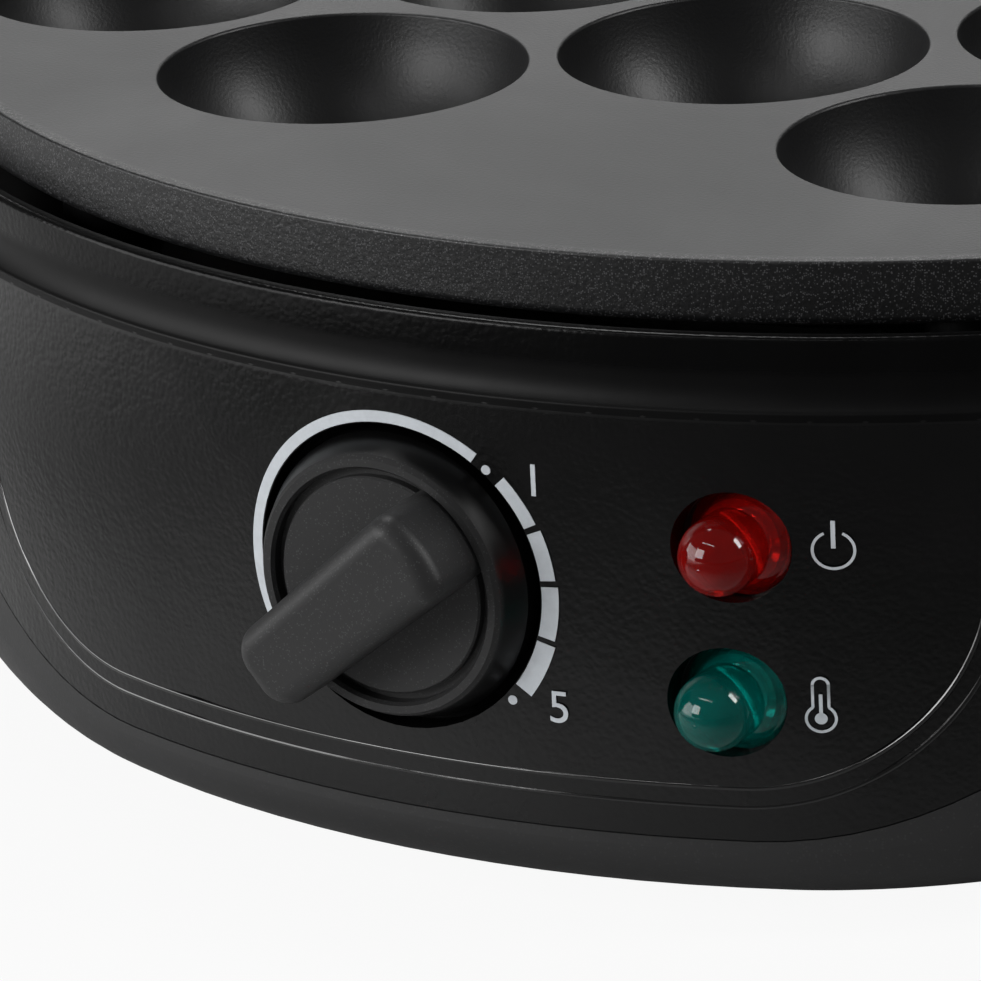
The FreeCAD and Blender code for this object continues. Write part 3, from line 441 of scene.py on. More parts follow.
@dataclass(frozen=True)
class GlossyShell:
    """Glossy black moulding with a fine leathery grain, duller on its ledge and inside its bore."""

    name: str = "glossy_shell"
    black: Colour = (0.0022, 0.0022, 0.0023)
    handled: Colour = (0.0032, 0.0032, 0.0033)
    roughness: float = 0.22
    specular: float = 0.5
    grain_depth: float = 0.03 * MM
    swell_depth: float = 0.06 * MM
    ledge_foot: tuple[float, float] = (54.6 * MM, 55.4 * MM)
    ledge_head: tuple[float, float] = (59.0 * MM, 60.6 * MM)
    bore: tuple[float, float] = (114.0 * MM, 114.8 * MM)
    ledge_dullness: float = 0.21
    bore_dullness: float = 0.70

    def build(self, effects: Effects) -> bpy.types.Material:
        """Builds the material.

        Args:
            effects: the shared effects.

        Returns:
            The material.
        """
        sheet = Sheet(self.name)
        board = sheet.board
        traces = effects.place(board, effects.handling, sheet.place, Patches_per_metre=30.0)
        grain = effects.place(board, effects.leather, sheet.place, Pebbles_per_metre=1500.0, Wrinkle=0.7)
        sheet.fix(Specular_IOR_Level=self.specular)
        sheet.drive("Base Color", board.blend(traces, self.black, self.handled))
        height = sheet.axis("Z")
        ledge = board.sum_up("SUBTRACT", sheet.step(height, *self.ledge_foot), sheet.step(height, *self.ledge_head))
        inside = board.inverted(sheet.step(sheet.radius(), *self.bore))
        duller = board.sum_up("MAXIMUM", board.sum_up("MULTIPLY", ledge, self.ledge_dullness),
                              board.sum_up("MULTIPLY", inside, self.bore_dullness))
        sheet.drive("Roughness", board.sum_up("ADD", board.raised(self.roughness, traces, 0.06), duller))
        off_ledge = board.sum_up("MULTIPLY", grain, board.inverted(ledge))
        sheet.emboss([(sheet.noise(160.0, 2.0), self.swell_depth), (off_ledge, self.grain_depth)])
        return sheet.material


@dataclass(frozen=True)
class SatinMoulding:
    """Satin black moulding, as of the lower tub, the gland or the feet."""

    name: str = "satin_tub"
    black: Colour = (0.016, 0.016, 0.0165)
    roughness: float = 0.5
    specular: float = 0.45
    spark_size: float = 3400.0
    spark_depth: float = 0.02 * MM
    cover: float = 0.12
    lighter: float = 1.5

    def build(self, effects: Effects) -> bpy.types.Material:
        """Builds the material.

        Args:
            effects: the shared effects.

        Returns:
            The material.
        """
        sheet = Sheet(self.name)
        board = sheet.board
        traces = effects.place(board, effects.handling, sheet.place, Patches_per_metre=35.0)
        sparks = effects.place(board, effects.specks, sheet.place,
                               Specks_per_metre=self.spark_size, Cover=self.cover)
        sheet.fix(Specular_IOR_Level=self.specular)
        lit = tuple(self.lighter * share for share in self.black)
        sheet.drive("Base Color", board.blend(board.sum_up("MULTIPLY", sparks, 0.8), self.black, lit))
        sheet.drive("Roughness", board.raised(self.roughness, traces, 0.07))
        sheet.emboss([(sheet.noise(self.spark_size, 3.0), self.spark_depth)])
        return sheet.material


@dataclass(frozen=True)
class DialPlastic:
    """Matte black of the dial, finely sparked on its face and grip, and darker and smoother on its skirt next to
    the panel.
    """

    black: Colour = (0.026, 0.026, 0.0265)
    sparked: Colour = (0.055, 0.055, 0.056)
    skirt_black: Colour = (0.0025, 0.0025, 0.0026)
    roughness: float = 0.44
    skirt_starts: tuple[float, float] = (13.9 * MM, 14.3 * MM)
    skirt_depths: tuple[float, float] = (3.4 * MM, 3.0 * MM)
    spark_depth: float = 0.016 * MM

    def build(self, effects: Effects) -> bpy.types.Material:
        """Builds the material.

        Args:
            effects: the shared effects.

        Returns:
            The material.
        """
        sheet = Sheet("sparked_dial")
        board = sheet.board
        behind_face = sheet.step(sheet.axis("Y"), *(-BODY_R - depth for depth in self.skirt_depths))
        skirt = board.sum_up("MULTIPLY", sheet.step(sheet.dial_radius(), *self.skirt_starts), behind_face)
        sparks = effects.place(board, effects.specks, sheet.place, Specks_per_metre=5200.0, Cover=0.14)
        traces = effects.place(board, effects.handling, sheet.place, Patches_per_metre=60.0)
        face = board.blend(sparks, self.black, self.sparked)
        sheet.fix(Specular_IOR_Level=0.35)
        sheet.drive("Base Color", board.blend(skirt, face, self.skirt_black))
        sheet.drive("Roughness", board.raised(board.raised(self.roughness, traces, 0.05), skirt, -0.14))
        fine = board.sum_up("MULTIPLY", sheet.noise(4200.0, 2.0), board.inverted(skirt))
        sheet.emboss([(fine, self.spark_depth)])
        return sheet.material


@dataclass(frozen=True)
class ShadePaintedReflector:
    """Reflector sheet, bright in the middle; all round it, where it shows in the gap under the plate, it is painted
    near black as painted shade.
    """

    bright: Colour = (0.70, 0.70, 0.71)
    tarnished: Colour = (0.55, 0.54, 0.52)
    painted_shade: Colour = (0.008, 0.008, 0.008)
    painted_shade_starts: tuple[float, float] = (26.0 * MM, 30.0 * MM)
    roughness: float = 0.25

    def build(self, effects: Effects) -> bpy.types.Material:
        """Builds the material.

        Args:
            effects: the shared effects.

        Returns:
            The material.
        """
        sheet = Sheet("reflector_sheet")
        board = sheet.board
        # Painted shade: beyond about 28 mm from the middle the sheet gets a near black colour and no metal,
        # standing for the shade in the gap under the plate.
        outer = sheet.step(sheet.radius(), *self.painted_shade_starts)
        traces = effects.place(board, effects.handling, sheet.place, Patches_per_metre=60.0)
        bright = board.blend(traces, self.bright, self.tarnished)
        sheet.drive("Base Color", board.blend(outer, bright, self.painted_shade))
        sheet.drive("Metallic", board.inverted(outer))
        sheet.drive("Roughness", board.raised(self.roughness, outer, 0.5))
        sheet.emboss([(sheet.noise(900.0, 2.0), 0.01 * MM)])
        return sheet.material


@dataclass(frozen=True)
class LensPlastic:
    """Clear coloured plastic of a lamp's dome."""

    name: str
    tint: Colour
    refraction: float = 1.49
    clearness: float = 0.82
    roughness: float = 0.04
    ripple_depth: float = 0.10 * MM

    def build(self, effects: Effects) -> bpy.types.Material:
        """Builds the material.

        Args:
            effects: the shared effects.

        Returns:
            The material.
        """
        sheet = Sheet(self.name)
        board = sheet.board
        traces = effects.place(board, effects.handling, sheet.place, Patches_per_metre=90.0)
        sheet.fix(IOR=self.refraction, Transmission_Weight=self.clearness)
        darker = tuple(0.6 * share for share in self.tint)
        sheet.drive("Base Color", board.blend(traces, self.tint, darker))
        sheet.drive("Roughness", board.raised(self.roughness, traces, 0.05))
        sheet.emboss([(sheet.noise(240.0, 1.0), self.ripple_depth)])
        return sheet.material


@dataclass(frozen=True)
class PrintInk:
    """Matte white ink, printed on the panel."""

    white: Colour = (0.66, 0.70, 0.74)
    roughness: float = 0.55

    def build(self, effects: Effects) -> bpy.types.Material:
        """Builds the material.

        Args:
            effects: the shared effects.

        Returns:
            The material.
        """
        sheet = Sheet("print_ink")
        board = sheet.board
        traces = effects.place(board, effects.handling, sheet.place, Patches_per_metre=600.0)
        greyer = tuple(0.9 * share for share in self.white)
        sheet.drive("Base Color", board.blend(traces, self.white, greyer))
        sheet.fix(Roughness=self.roughness)
        sheet.emboss([(sheet.noise(3000.0, 2.0), 0.006 * MM)])
        return sheet.material


@dataclass(frozen=True)
class InnerStock:
    """Metal, mica, ceramic or glass of the parts inside."""

    name: str
    colour: Colour
    metallic: float = 0.0
    roughness: float = 0.45
    transmission: float = 0.0

    def build(self, effects: Effects) -> bpy.types.Material:
        """Builds the material.

        Args:
            effects: the shared effects.

        Returns:
            The material.
        """
        sheet = Sheet(self.name)
        board = sheet.board
        traces = effects.place(board, effects.handling, sheet.place, Patches_per_metre=80.0)
        sheet.fix(Metallic=self.metallic, Transmission_Weight=self.transmission)
        darker = tuple(0.8 * share for share in self.colour)
        sheet.drive("Base Color", board.blend(traces, self.colour, darker))
        sheet.drive("Roughness", board.raised(self.roughness, traces, 0.1))
        sheet.emboss([(sheet.noise(1500.0, 3.0), 0.01 * MM)])
        return sheet.material


# ---------------------------------------------------------------- modelling


def start_alone() -> None:
    """Leaves edit mode and deselects everything."""
    if bpy.context.object is not None and bpy.context.object.mode != "OBJECT":
        bpy.ops.object.mode_set(mode="OBJECT")
    bpy.ops.object.select_all(action="DESELECT")


def settle(piece: bpy.types.Object, name: str) -> bpy.types.Object:
    """Names a piece, gives it outward normals and puts its place into its mesh.

    Args:
        piece: the active object.
        name: its new name.

    Returns:
        The piece.
    """
    piece.name = name
    piece.data.name = name
    start_alone()
    piece.select_set(True)
    bpy.context.view_layer.objects.active = piece
    bpy.ops.object.transform_apply(location=True, rotation=True, scale=True)
    bpy.ops.object.mode_set(mode="EDIT")
    bpy.ops.mesh.select_all(action="SELECT")
    bpy.ops.mesh.remove_doubles(threshold=2 * WELD)
    bpy.ops.mesh.normals_make_consistent(inside=False)
    bpy.ops.object.mode_set(mode="OBJECT")
    bpy.ops.object.shade_smooth_by_angle(angle=math.radians(40))
    start_alone()
    return piece


def move_points(piece: bpy.types.Object, rule: Callable[[Vector], Vector]) -> None:
    """Moves each vertex of a piece.

    Args:
        piece: the piece.
        rule: gives a vertex's new place for its old one.
    """
    for vertex in piece.data.vertices:
        vertex.co = rule(vertex.co)
    piece.data.update()


def laid_grid(columns: int, rows: int, seat: Callable[[int, int], Vector]) -> bpy.types.Object:
    """Adds a grid and carries each of its corners to a place of its own.

    Args:
        columns: number of steps along the grid.
        rows: number of steps across it.
        seat: gives the place for a step along and a step across.

    Returns:
        The laid grid, which is the active object.
    """
    start_alone()
    bpy.ops.mesh.primitive_grid_add(x_subdivisions=columns, y_subdivisions=rows, size=2.0)
    grid = bpy.context.object
    move_points(grid, lambda corner: seat(round((corner.x + 1) / 2 * columns), round((corner.y + 1) / 2 * rows)))
    return grid


def thicken(piece: bpy.types.Object, depth: float, offset: float = -1.0) -> None:
    """Gives a sheet its thickness.

    Args:
        piece: the sheet.
        depth: its thickness.
        offset: -1 puts it all inside, and 0 half on either side.
    """
    start_alone()
    bpy.context.view_layer.objects.active = piece
    piece.select_set(True)
    wall = piece.modifiers.new("wall", "SOLIDIFY")
    wall.thickness = depth
    wall.offset = offset
    bpy.ops.object.modifier_apply(modifier=wall.name)


def dress(piece: bpy.types.Object, material: bpy.types.Material, body: str) -> None:
    """Gives a new piece its one material and the body that it rides on.

    Args:
        piece: the piece, with its place in its mesh.
        material: its finish.
        body: the body it moves with.
    """
    piece.data.materials.clear()
    piece.data.materials.append(material)
    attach(piece, body)
    LOG.info("%s: %d faces, rides on %s", piece.name, len(piece.data.polygons), body)


class Mark(Enum):
    """What a printed mark on the dial's scale shows."""

    SWEEP = "scale_sweep"
    BAR = "scale_bar"
    DOT = "scale_dot"
    NUMBER = "scale_number"


@dataclass
class PanelPrint:
    """White marks printed on the curved panel: the dial's scale, its end numbers and two signs."""

    inner_r: float = 16.5 * MM
    sweep_r: float = 17.7 * MM
    ink: float = 0.05 * MM
    sink: float = 0.03 * MM
    sweep: tuple[float, float] = (55.2, 212.0)
    bars: tuple[tuple[float, float, float], ...] = (
        (43.6, 25.3, 17.9), (23.0, 5.7, 18.1), (3.5, -15.0, 18.3), (-17.0, -36.4, 18.5))
    dots: tuple[tuple[float, float], ...] = ((49.5, 17.0), (-42.2, 17.3))
    dot_r: float = 0.5 * MM
    numbers: tuple[tuple[str, float, float], ...] = (("1", 14.9, 47.6), ("5", 16.6, 23.4))
    number_height: float = 3.4 * MM
    digit_share: float = 0.69
    sign_x: tuple[float, float] = (45.5, 43.9)
    power_z: float = 41.8 * MM
    heat_z: float = 25.4 * MM
    stroke: float = 0.27 * MM
    power_r: float = 1.95 * MM
    power_opening: tuple[float, float] = (116.0, 424.0)
    power_bar: tuple[float, float, float] = (0.2 * MM, 3.1 * MM, 0.42 * MM)
    bulb_r: float = 1.4 * MM
    bulb_drop: float = 1.6 * MM
    tube_r: float = 0.75 * MM
    tube_height: float = 3.6 * MM
    column: tuple[float, float, float] = (0.6 * MM, 2.6 * MM, 0.34 * MM)

    def on_panel(self, piece: bpy.types.Object, name: str) -> bpy.types.Object:
        """Lays a flat mesh of the XZ plane on the panel and gives it the ink's thickness.

        Args:
            piece: mesh with its marks drawn in X and Z.
            name: the piece's name.

        Returns:
            The finished piece.
        """
        move_points(piece, lambda p: Vector((p.x, -math.sqrt(BODY_R ** 2 - p.x ** 2) - self.ink, p.z)))
        thicken(piece, self.ink + self.sink, 0.0)
        return settle(piece, name)

    def arc(self, start: float, end: float, inner: float, outer: float, centre: Vector, name: str,
            steps: int) -> bpy.types.Object:
        """Spins a short line round a centre into a flat arc band.

        Args:
            start: first angle in degrees, from +X towards +Z.
            end: last angle.
            inner: inner radius.
            outer: outer radius.
            centre: middle of the arc in X and Z.
            name: the new object's name.
            steps: number of steps.

        Returns:
            The flat band.
        """
        start_alone()
        bpy.ops.mesh.primitive_plane_add(size=1.0)
        band = bpy.context.object
        band.name = name
        bpy.ops.object.mode_set(mode="EDIT")
        bpy.ops.mesh.delete(type="ONLY_FACE")
        bpy.ops.mesh.select_all(action="DESELECT")
        bpy.ops.object.mode_set(mode="OBJECT")
        turn = Matrix.Rotation(-math.radians(start), 4, "Y")
        ends = [centre + turn @ Vector((reach, 0, 0)) for reach in (inner, outer)]
        keep = band.data.edges[0]
        for index, place in zip(keep.vertices, ends):
            band.data.vertices[index].co = place
        for index, vertex in enumerate(band.data.vertices):
            vertex.select = index not in keep.vertices
        bpy.ops.object.mode_set(mode="EDIT")
        bpy.ops.mesh.delete(type="VERT")
        bpy.ops.mesh.select_all(action="SELECT")
        bpy.ops.mesh.spin(steps=steps, angle=math.radians(end - start), center=centre, axis=(0, 1, 0))
        bpy.ops.mesh.select_all(action="SELECT")
        bpy.ops.mesh.remove_doubles(threshold=WELD)
        bpy.ops.object.mode_set(mode="OBJECT")
        return band

    def disc(self, centre: Vector, radius: float, name: str) -> bpy.types.Object:
        """Adds a flat round dot in the XZ plane.

        Args:
            centre: its middle.
            radius: its radius.
            name: the new object's name.

        Returns:
            The flat dot.
        """
        start_alone()
        bpy.ops.mesh.primitive_circle_add(vertices=28, radius=radius, fill_type="TRIFAN", location=centre,
                                          rotation=(math.pi / 2, 0, 0))
        dot = bpy.context.object
        dot.name = name
        bpy.ops.object.transform_apply(location=True, rotation=True, scale=True)
        return dot

    def joined(self, pieces: list[bpy.types.Object]) -> bpy.types.Object:
        """Joins flat meshes into the first of them.

        Args:
            pieces: the meshes.

        Returns:
            The first mesh, with all the others in it.
        """
        start_alone()
        for piece in pieces:
            piece.select_set(True)
        bpy.context.view_layer.objects.active = pieces[0]
        bpy.ops.object.join()
        return pieces[0]

    def scale(self) -> list[bpy.types.Object]:
        """The long sweep, the four widening bars and the two end dots.

        Returns:
            The flat pieces.
        """
        centre = Vector((0, 0, DIAL_Z))
        made = [self.on_panel(self.arc(*self.sweep, self.inner_r, self.sweep_r, centre, "sweep", 72),
                              Mark.SWEEP.value)]
        for index, (start, end, outer) in enumerate(self.bars, 1):
            band = self.arc(start, end, self.inner_r, outer * MM, centre, "bar", 12)
            made.append(self.on_panel(band, f"{Mark.BAR.value}_{index}"))
        for index, (angle, reach) in enumerate(self.dots, 1):
            turn = math.radians(angle)
            place = centre + reach * MM * Vector((math.cos(turn), 0, math.sin(turn)))
            made.append(self.on_panel(self.disc(place, self.dot_r, "dot"), f"{Mark.DOT.value}_{index}"))
        return made

    def end_numbers(self) -> list[bpy.types.Object]:
        """Plain numbers at the two ends of the bars.

        Returns:
            The flat pieces.
        """
        made = []
        for text, across, high in self.numbers:
            start_alone()
            bpy.ops.object.text_add(location=(across * MM, 0, high * MM - self.number_height / 2),
                                    rotation=(math.pi / 2, 0, 0))
            label = bpy.context.object
            label.data.body = text
            label.data.size = self.number_height / self.digit_share
            label.data.resolution_u = 6
            bpy.ops.object.convert(target="MESH")
            bpy.ops.object.transform_apply(location=True, rotation=True, scale=True)
            made.append(self.on_panel(bpy.context.object, f"{Mark.NUMBER.value}_{text}"))
        return made

    def signs(self) -> list[bpy.types.Object]:
        """The power sign and the thermometer sign.

        Returns:
            The flat pieces.
        """
        half = self.stroke / 2
        power = Vector((self.sign_x[0] * MM, 0, self.power_z))
        ring = self.arc(*self.power_opening, self.power_r - half, self.power_r + half, power, "ring", 48)
        low, high, width = self.power_bar
        bar = self.bar_between(power + Vector((0, 0, low)), power + Vector((0, 0, high)), width)
        made = [self.on_panel(self.joined([ring, bar]), "power_sign")]
        heat = Vector((self.sign_x[1] * MM, 0, self.heat_z - self.bulb_drop))
        tube_r, bulb_r = self.tube_r, self.bulb_r
        open_deg = math.degrees(math.asin(tube_r / bulb_r))
        neck = bulb_r * math.cos(math.radians(open_deg))
        top = heat + Vector((0, 0, self.tube_height))
        bulb = self.arc(90 + open_deg, 450 - open_deg, bulb_r - half, bulb_r + half, heat, "bulb", 32)
        cap = self.arc(0, 180, tube_r - half, tube_r + half, top, "cap", 14)
        left = self.bar_between(heat + Vector((-tube_r, 0, neck)), top - Vector((tube_r, 0, 0)), self.stroke)
        right = self.bar_between(heat + Vector((tube_r, 0, neck)), top + Vector((tube_r, 0, 0)), self.stroke)
        core_r, stem_height, stem_width = self.column
        core = self.disc(heat, core_r, "core")
        stem = self.bar_between(heat, heat + Vector((0, 0, stem_height)), stem_width)
        made.append(self.on_panel(self.joined([bulb, cap, left, right]), "heat_sign_outline"))
        made.append(self.on_panel(self.joined([core, stem]), "heat_sign_column"))
        return made

    def bar_between(self, low: Vector, high: Vector, width: float) -> bpy.types.Object:
        """A flat upright bar in the XZ plane.

        Args:
            low: middle of its lower end.
            high: middle of its upper end.
            width: its width.

        Returns:
            The flat bar.
        """
        start_alone()
        bpy.ops.mesh.primitive_plane_add(size=1.0, location=(low + high) / 2, rotation=(math.pi / 2, 0, 0))
        bar = bpy.context.object
        bar.scale = (width, (high - low).length, 1)
        bpy.ops.object.transform_apply(location=True, rotation=True, scale=True)
        return bar

    def build(self, ink: bpy.types.Material) -> None:
        """Makes all marks and dresses them.

        Args:
            ink: the print's finish.
        """
        for piece in self.scale() + self.end_numbers() + self.signs():
            dress(piece, ink, "base")


@dataclass
class PanelGroove:
    """Smooth lining with rolled lips of the groove that frames the panel on three sides."""

    half: float = 61.0 * MM
    corner: float = 24.0 * MM
    low: float = 14.9 * MM
    top: float = 54.6 * MM
    turn: float = -0.5
    seat_r: float = 117.65 * MM
    bore_r: float = 0.86 * MM
    bowl_half_deg: float = 73.0
    bowl_steps: int = 14
    lips: tuple[tuple[float, float], ...] = ((-1.28, -0.09), (-1.18, 0.03), (-1.06, 0.07), (-0.95, 0.04))
    steps: tuple[int, int, int] = (24, 32, 8)
    skin: float = 0.05 * MM

    def route(self) -> list[tuple[float, float]]:
        """The groove's middle line as pairs across and up, from the top left to the top right.

        Returns:
            Places along the groove, as pairs of sideways and height.
        """
        flat = self.half - self.corner
        bend = self.low + self.corner
        along, round_corner, upward = self.steps
        right = [(flat * step / along, self.low) for step in range(along + 1)]
        for step in range(1, round_corner + 1):
            turn = math.pi / 2 * step / round_corner
            right.append((flat + self.corner * math.sin(turn), bend - self.corner * math.cos(turn)))
        right += [(self.half, bend + (self.top - bend) * step / upward) for step in range(1, upward + 1)]
        left = [(-across, up) for across, up in reversed(right[1:])]
        return left + right

    def profile(self) -> list[tuple[float, float]]:
        """The lining's section as pairs sideways and outwards, from one lip to the other.

        Returns:
            Pairs of sideways and out.
        """
        wall = BODY_R - self.seat_r
        side = [(across * MM, wall + out * MM) for across, out in self.lips]
        bowl = []
        for step in range(self.bowl_steps + 1):
            turn = math.radians(self.bowl_half_deg * (2 * step / self.bowl_steps - 1))
            bowl.append((self.bore_r * math.sin(turn), -self.bore_r * math.cos(turn)))
        return side + bowl + [(-across, out) for across, out in reversed(side)]

    def build(self, gloss: bpy.types.Material) -> None:
        """Lays a fine grid into the groove and gives it a little thickness.

        Args:
            gloss: the lining's finish.
        """
        route = self.route()
        profile = self.profile()
        spin = Matrix.Rotation(math.radians(self.turn), 3, "Z")

        def seat(along: int, across: int) -> Vector:
            """Seats one corner of the lining.

            Args:
                along: its step along the grid.
                across: its step across it.

            Returns:
                Its place.
            """
            sideways, out = profile[across]
            before, after = route[max(along - 1, 0)], route[min(along + 1, len(route) - 1)]
            here = self.point(*route[along])
            forward = (self.point(*after) - self.point(*before)).normalized()
            outward = Vector((here.x, here.y, 0)).normalized()
            return spin @ (here + outward.cross(forward) * sideways + outward * out)

        lining = laid_grid(len(route) - 1, len(profile) - 1, seat)
        thicken(lining, self.skin)
        dress(settle(lining, "panel_groove_lining"), gloss, "base")

    def point(self, across: float, up: float) -> Vector:
        """A point of the groove's middle line."""
        return Vector((across, -math.sqrt(self.seat_r ** 2 - across ** 2), up))


@dataclass
class BandSkin:
    """Smooth outer skin of the band between the ledge and the lip, all the way round.

    Each curve of its section is three pairs of radius past a base radius and height past a base height.
    """

    turns: int = 480
    ledge_foot: tuple[tuple[float, float], ...] = ((1.2, -0.6), (1.08, 0.05), (0.8, 0.4))
    flare: tuple[tuple[float, float], ...] = ((0.8, 0.4), (0.17, 1.7), (0.0, 3.4))
    lip: tuple[tuple[float, float], ...] = ((0.0, -0.6), (-0.17, -0.17), (-0.6, 0.0))
    lip_width: float = 0.9 * MM
    lift: float = 0.22 * MM
    rise: float = 0.03 * MM
    skin: float = 0.05 * MM

    def profile(self) -> list[tuple[float, float]]:
        """The band's section as pairs of radius and height, from the ledge up over the lip.

        Returns:
            Pairs of radius and height.
        """
        section = self.curve(self.ledge_foot, LEDGE_Z, 7) + self.curve(self.flare, LEDGE_Z, 11)[1:]
        return section + self.curve(self.lip, LIP_Z, 7) + [(BAND_R - self.lip_width, LIP_Z)]

    @staticmethod
    def curve(three: tuple[tuple[float, float], ...], base: float, count: int) -> list[tuple[float, float]]:
        """Points on a smooth curve through three points.

        Args:
            three: radius past the band's and height past the base, both in millimetres, for each point.
            base: the height that they start from.
            count: number of points on the curve.

        Returns:
            Pairs of radius and height.
        """
        points = []
        for step in range(count):
            share = step / (count - 1)
            weights = (2 * (share - 0.5) * (share - 1), 4 * share * (1 - share), 2 * share * (share - 0.5))
            out, up = (sum(weight * point[axis] for weight, point in zip(weights, three)) for axis in (0, 1))
            points.append((BAND_R + out * MM, base + up * MM))
        return points

    def build(self, gloss: bpy.types.Material) -> None:
        """Wraps a fine grid round the band and closes it.

        Args:
            gloss: the skin's finish.
        """
        profile = self.profile()

        def seat(along: int, across: int) -> Vector:
            """Seats one corner of the skin.

            Args:
                along: its step along the grid.
                across: its step across it.

            Returns:
                Its place.
            """
            turn = math.pi * (2 * along / self.turns - 1)
            radius, height = profile[across]
            radius = min(radius + self.lift, BODY_R)
            return Vector((radius * math.cos(turn), radius * math.sin(turn), height + self.rise))

        skin = laid_grid(self.turns, len(profile) - 1, seat)
        bpy.ops.object.mode_set(mode="EDIT")
        bpy.ops.mesh.select_all(action="SELECT")
        bpy.ops.mesh.remove_doubles(threshold=WELD)
        bpy.ops.mesh.normals_make_consistent(inside=False)
        bpy.ops.object.mode_set(mode="OBJECT")
        thicken(skin, self.skin)
        dress(settle(skin, "band_skin"), gloss, "base")


@dataclass
class PointerMark:
    """Small white inlay on the end of the dial's grip."""

    rest: float = 220.0
    reach: float = 16.25 * MM
    out: float = 5.2 * MM
    radius: float = 0.5 * MM
    depth: float = 0.5 * MM
    dome: float = 0.16 * MM

    def build(self, ink: bpy.types.Material) -> None:
        """Sets a domed button into the end of the grip.

        Args:
            ink: the button's finish.
        """
        turn = math.radians(self.rest)
        way = Vector((math.cos(turn), 0, math.sin(turn)))
        start_alone()
        bpy.ops.mesh.primitive_cylinder_add(vertices=24, radius=self.radius, depth=self.depth)
        button = bpy.context.object
        edge = button.modifiers.new("dome", "BEVEL")
        edge.width = self.dome
        edge.segments = 3
        bpy.ops.object.modifier_apply(modifier=edge.name)
        button.rotation_euler = way.to_track_quat("Z", "Y").to_euler()
        button.location = way * self.reach + Vector((0, -BODY_R - self.out, DIAL_Z))
        dress(settle(button, "pointer_mark"), ink, "knob")


# ---------------------------------------------------------------- carried-over nodes


@dataclass
class Carcass:
    """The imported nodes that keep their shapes, with the finish of each."""

    finishes: dict[str, tuple[str, ...]]

    def build(self, made: dict[str, bpy.types.Material]) -> None:
        """Dresses each node.

        Args:
            made: finish name to material.
        """
        for finish, nodes in self.finishes.items():
            for name in nodes:
                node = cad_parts[name]
                node.data.materials.clear()
                node.data.materials.append(made[finish])
                LOG.info("%s: packed node in %s", name, finish)


# ---------------------------------------------------------------- studio


@dataclass(frozen=True)
class SoftBox:
    """One square studio lamp."""

    name: str
    place: tuple[float, float, float]
    aim: tuple[float, float, float]
    size: tuple[float, float]
    power: float

    def build(self) -> None:
        """Adds the lamp and turns it to its aim."""
        data = bpy.data.lights.new(self.name, "AREA")
        data.shape = "RECTANGLE"
        data.size, data.size_y = self.size
        data.energy = self.power
        lamp = bpy.data.objects.new(self.name, data)
        bpy.context.scene.collection.objects.link(lamp)
        lamp.location = self.place
        lamp.rotation_euler = (Vector(self.aim) - Vector(self.place)).to_track_quat("-Z", "Y").to_euler()


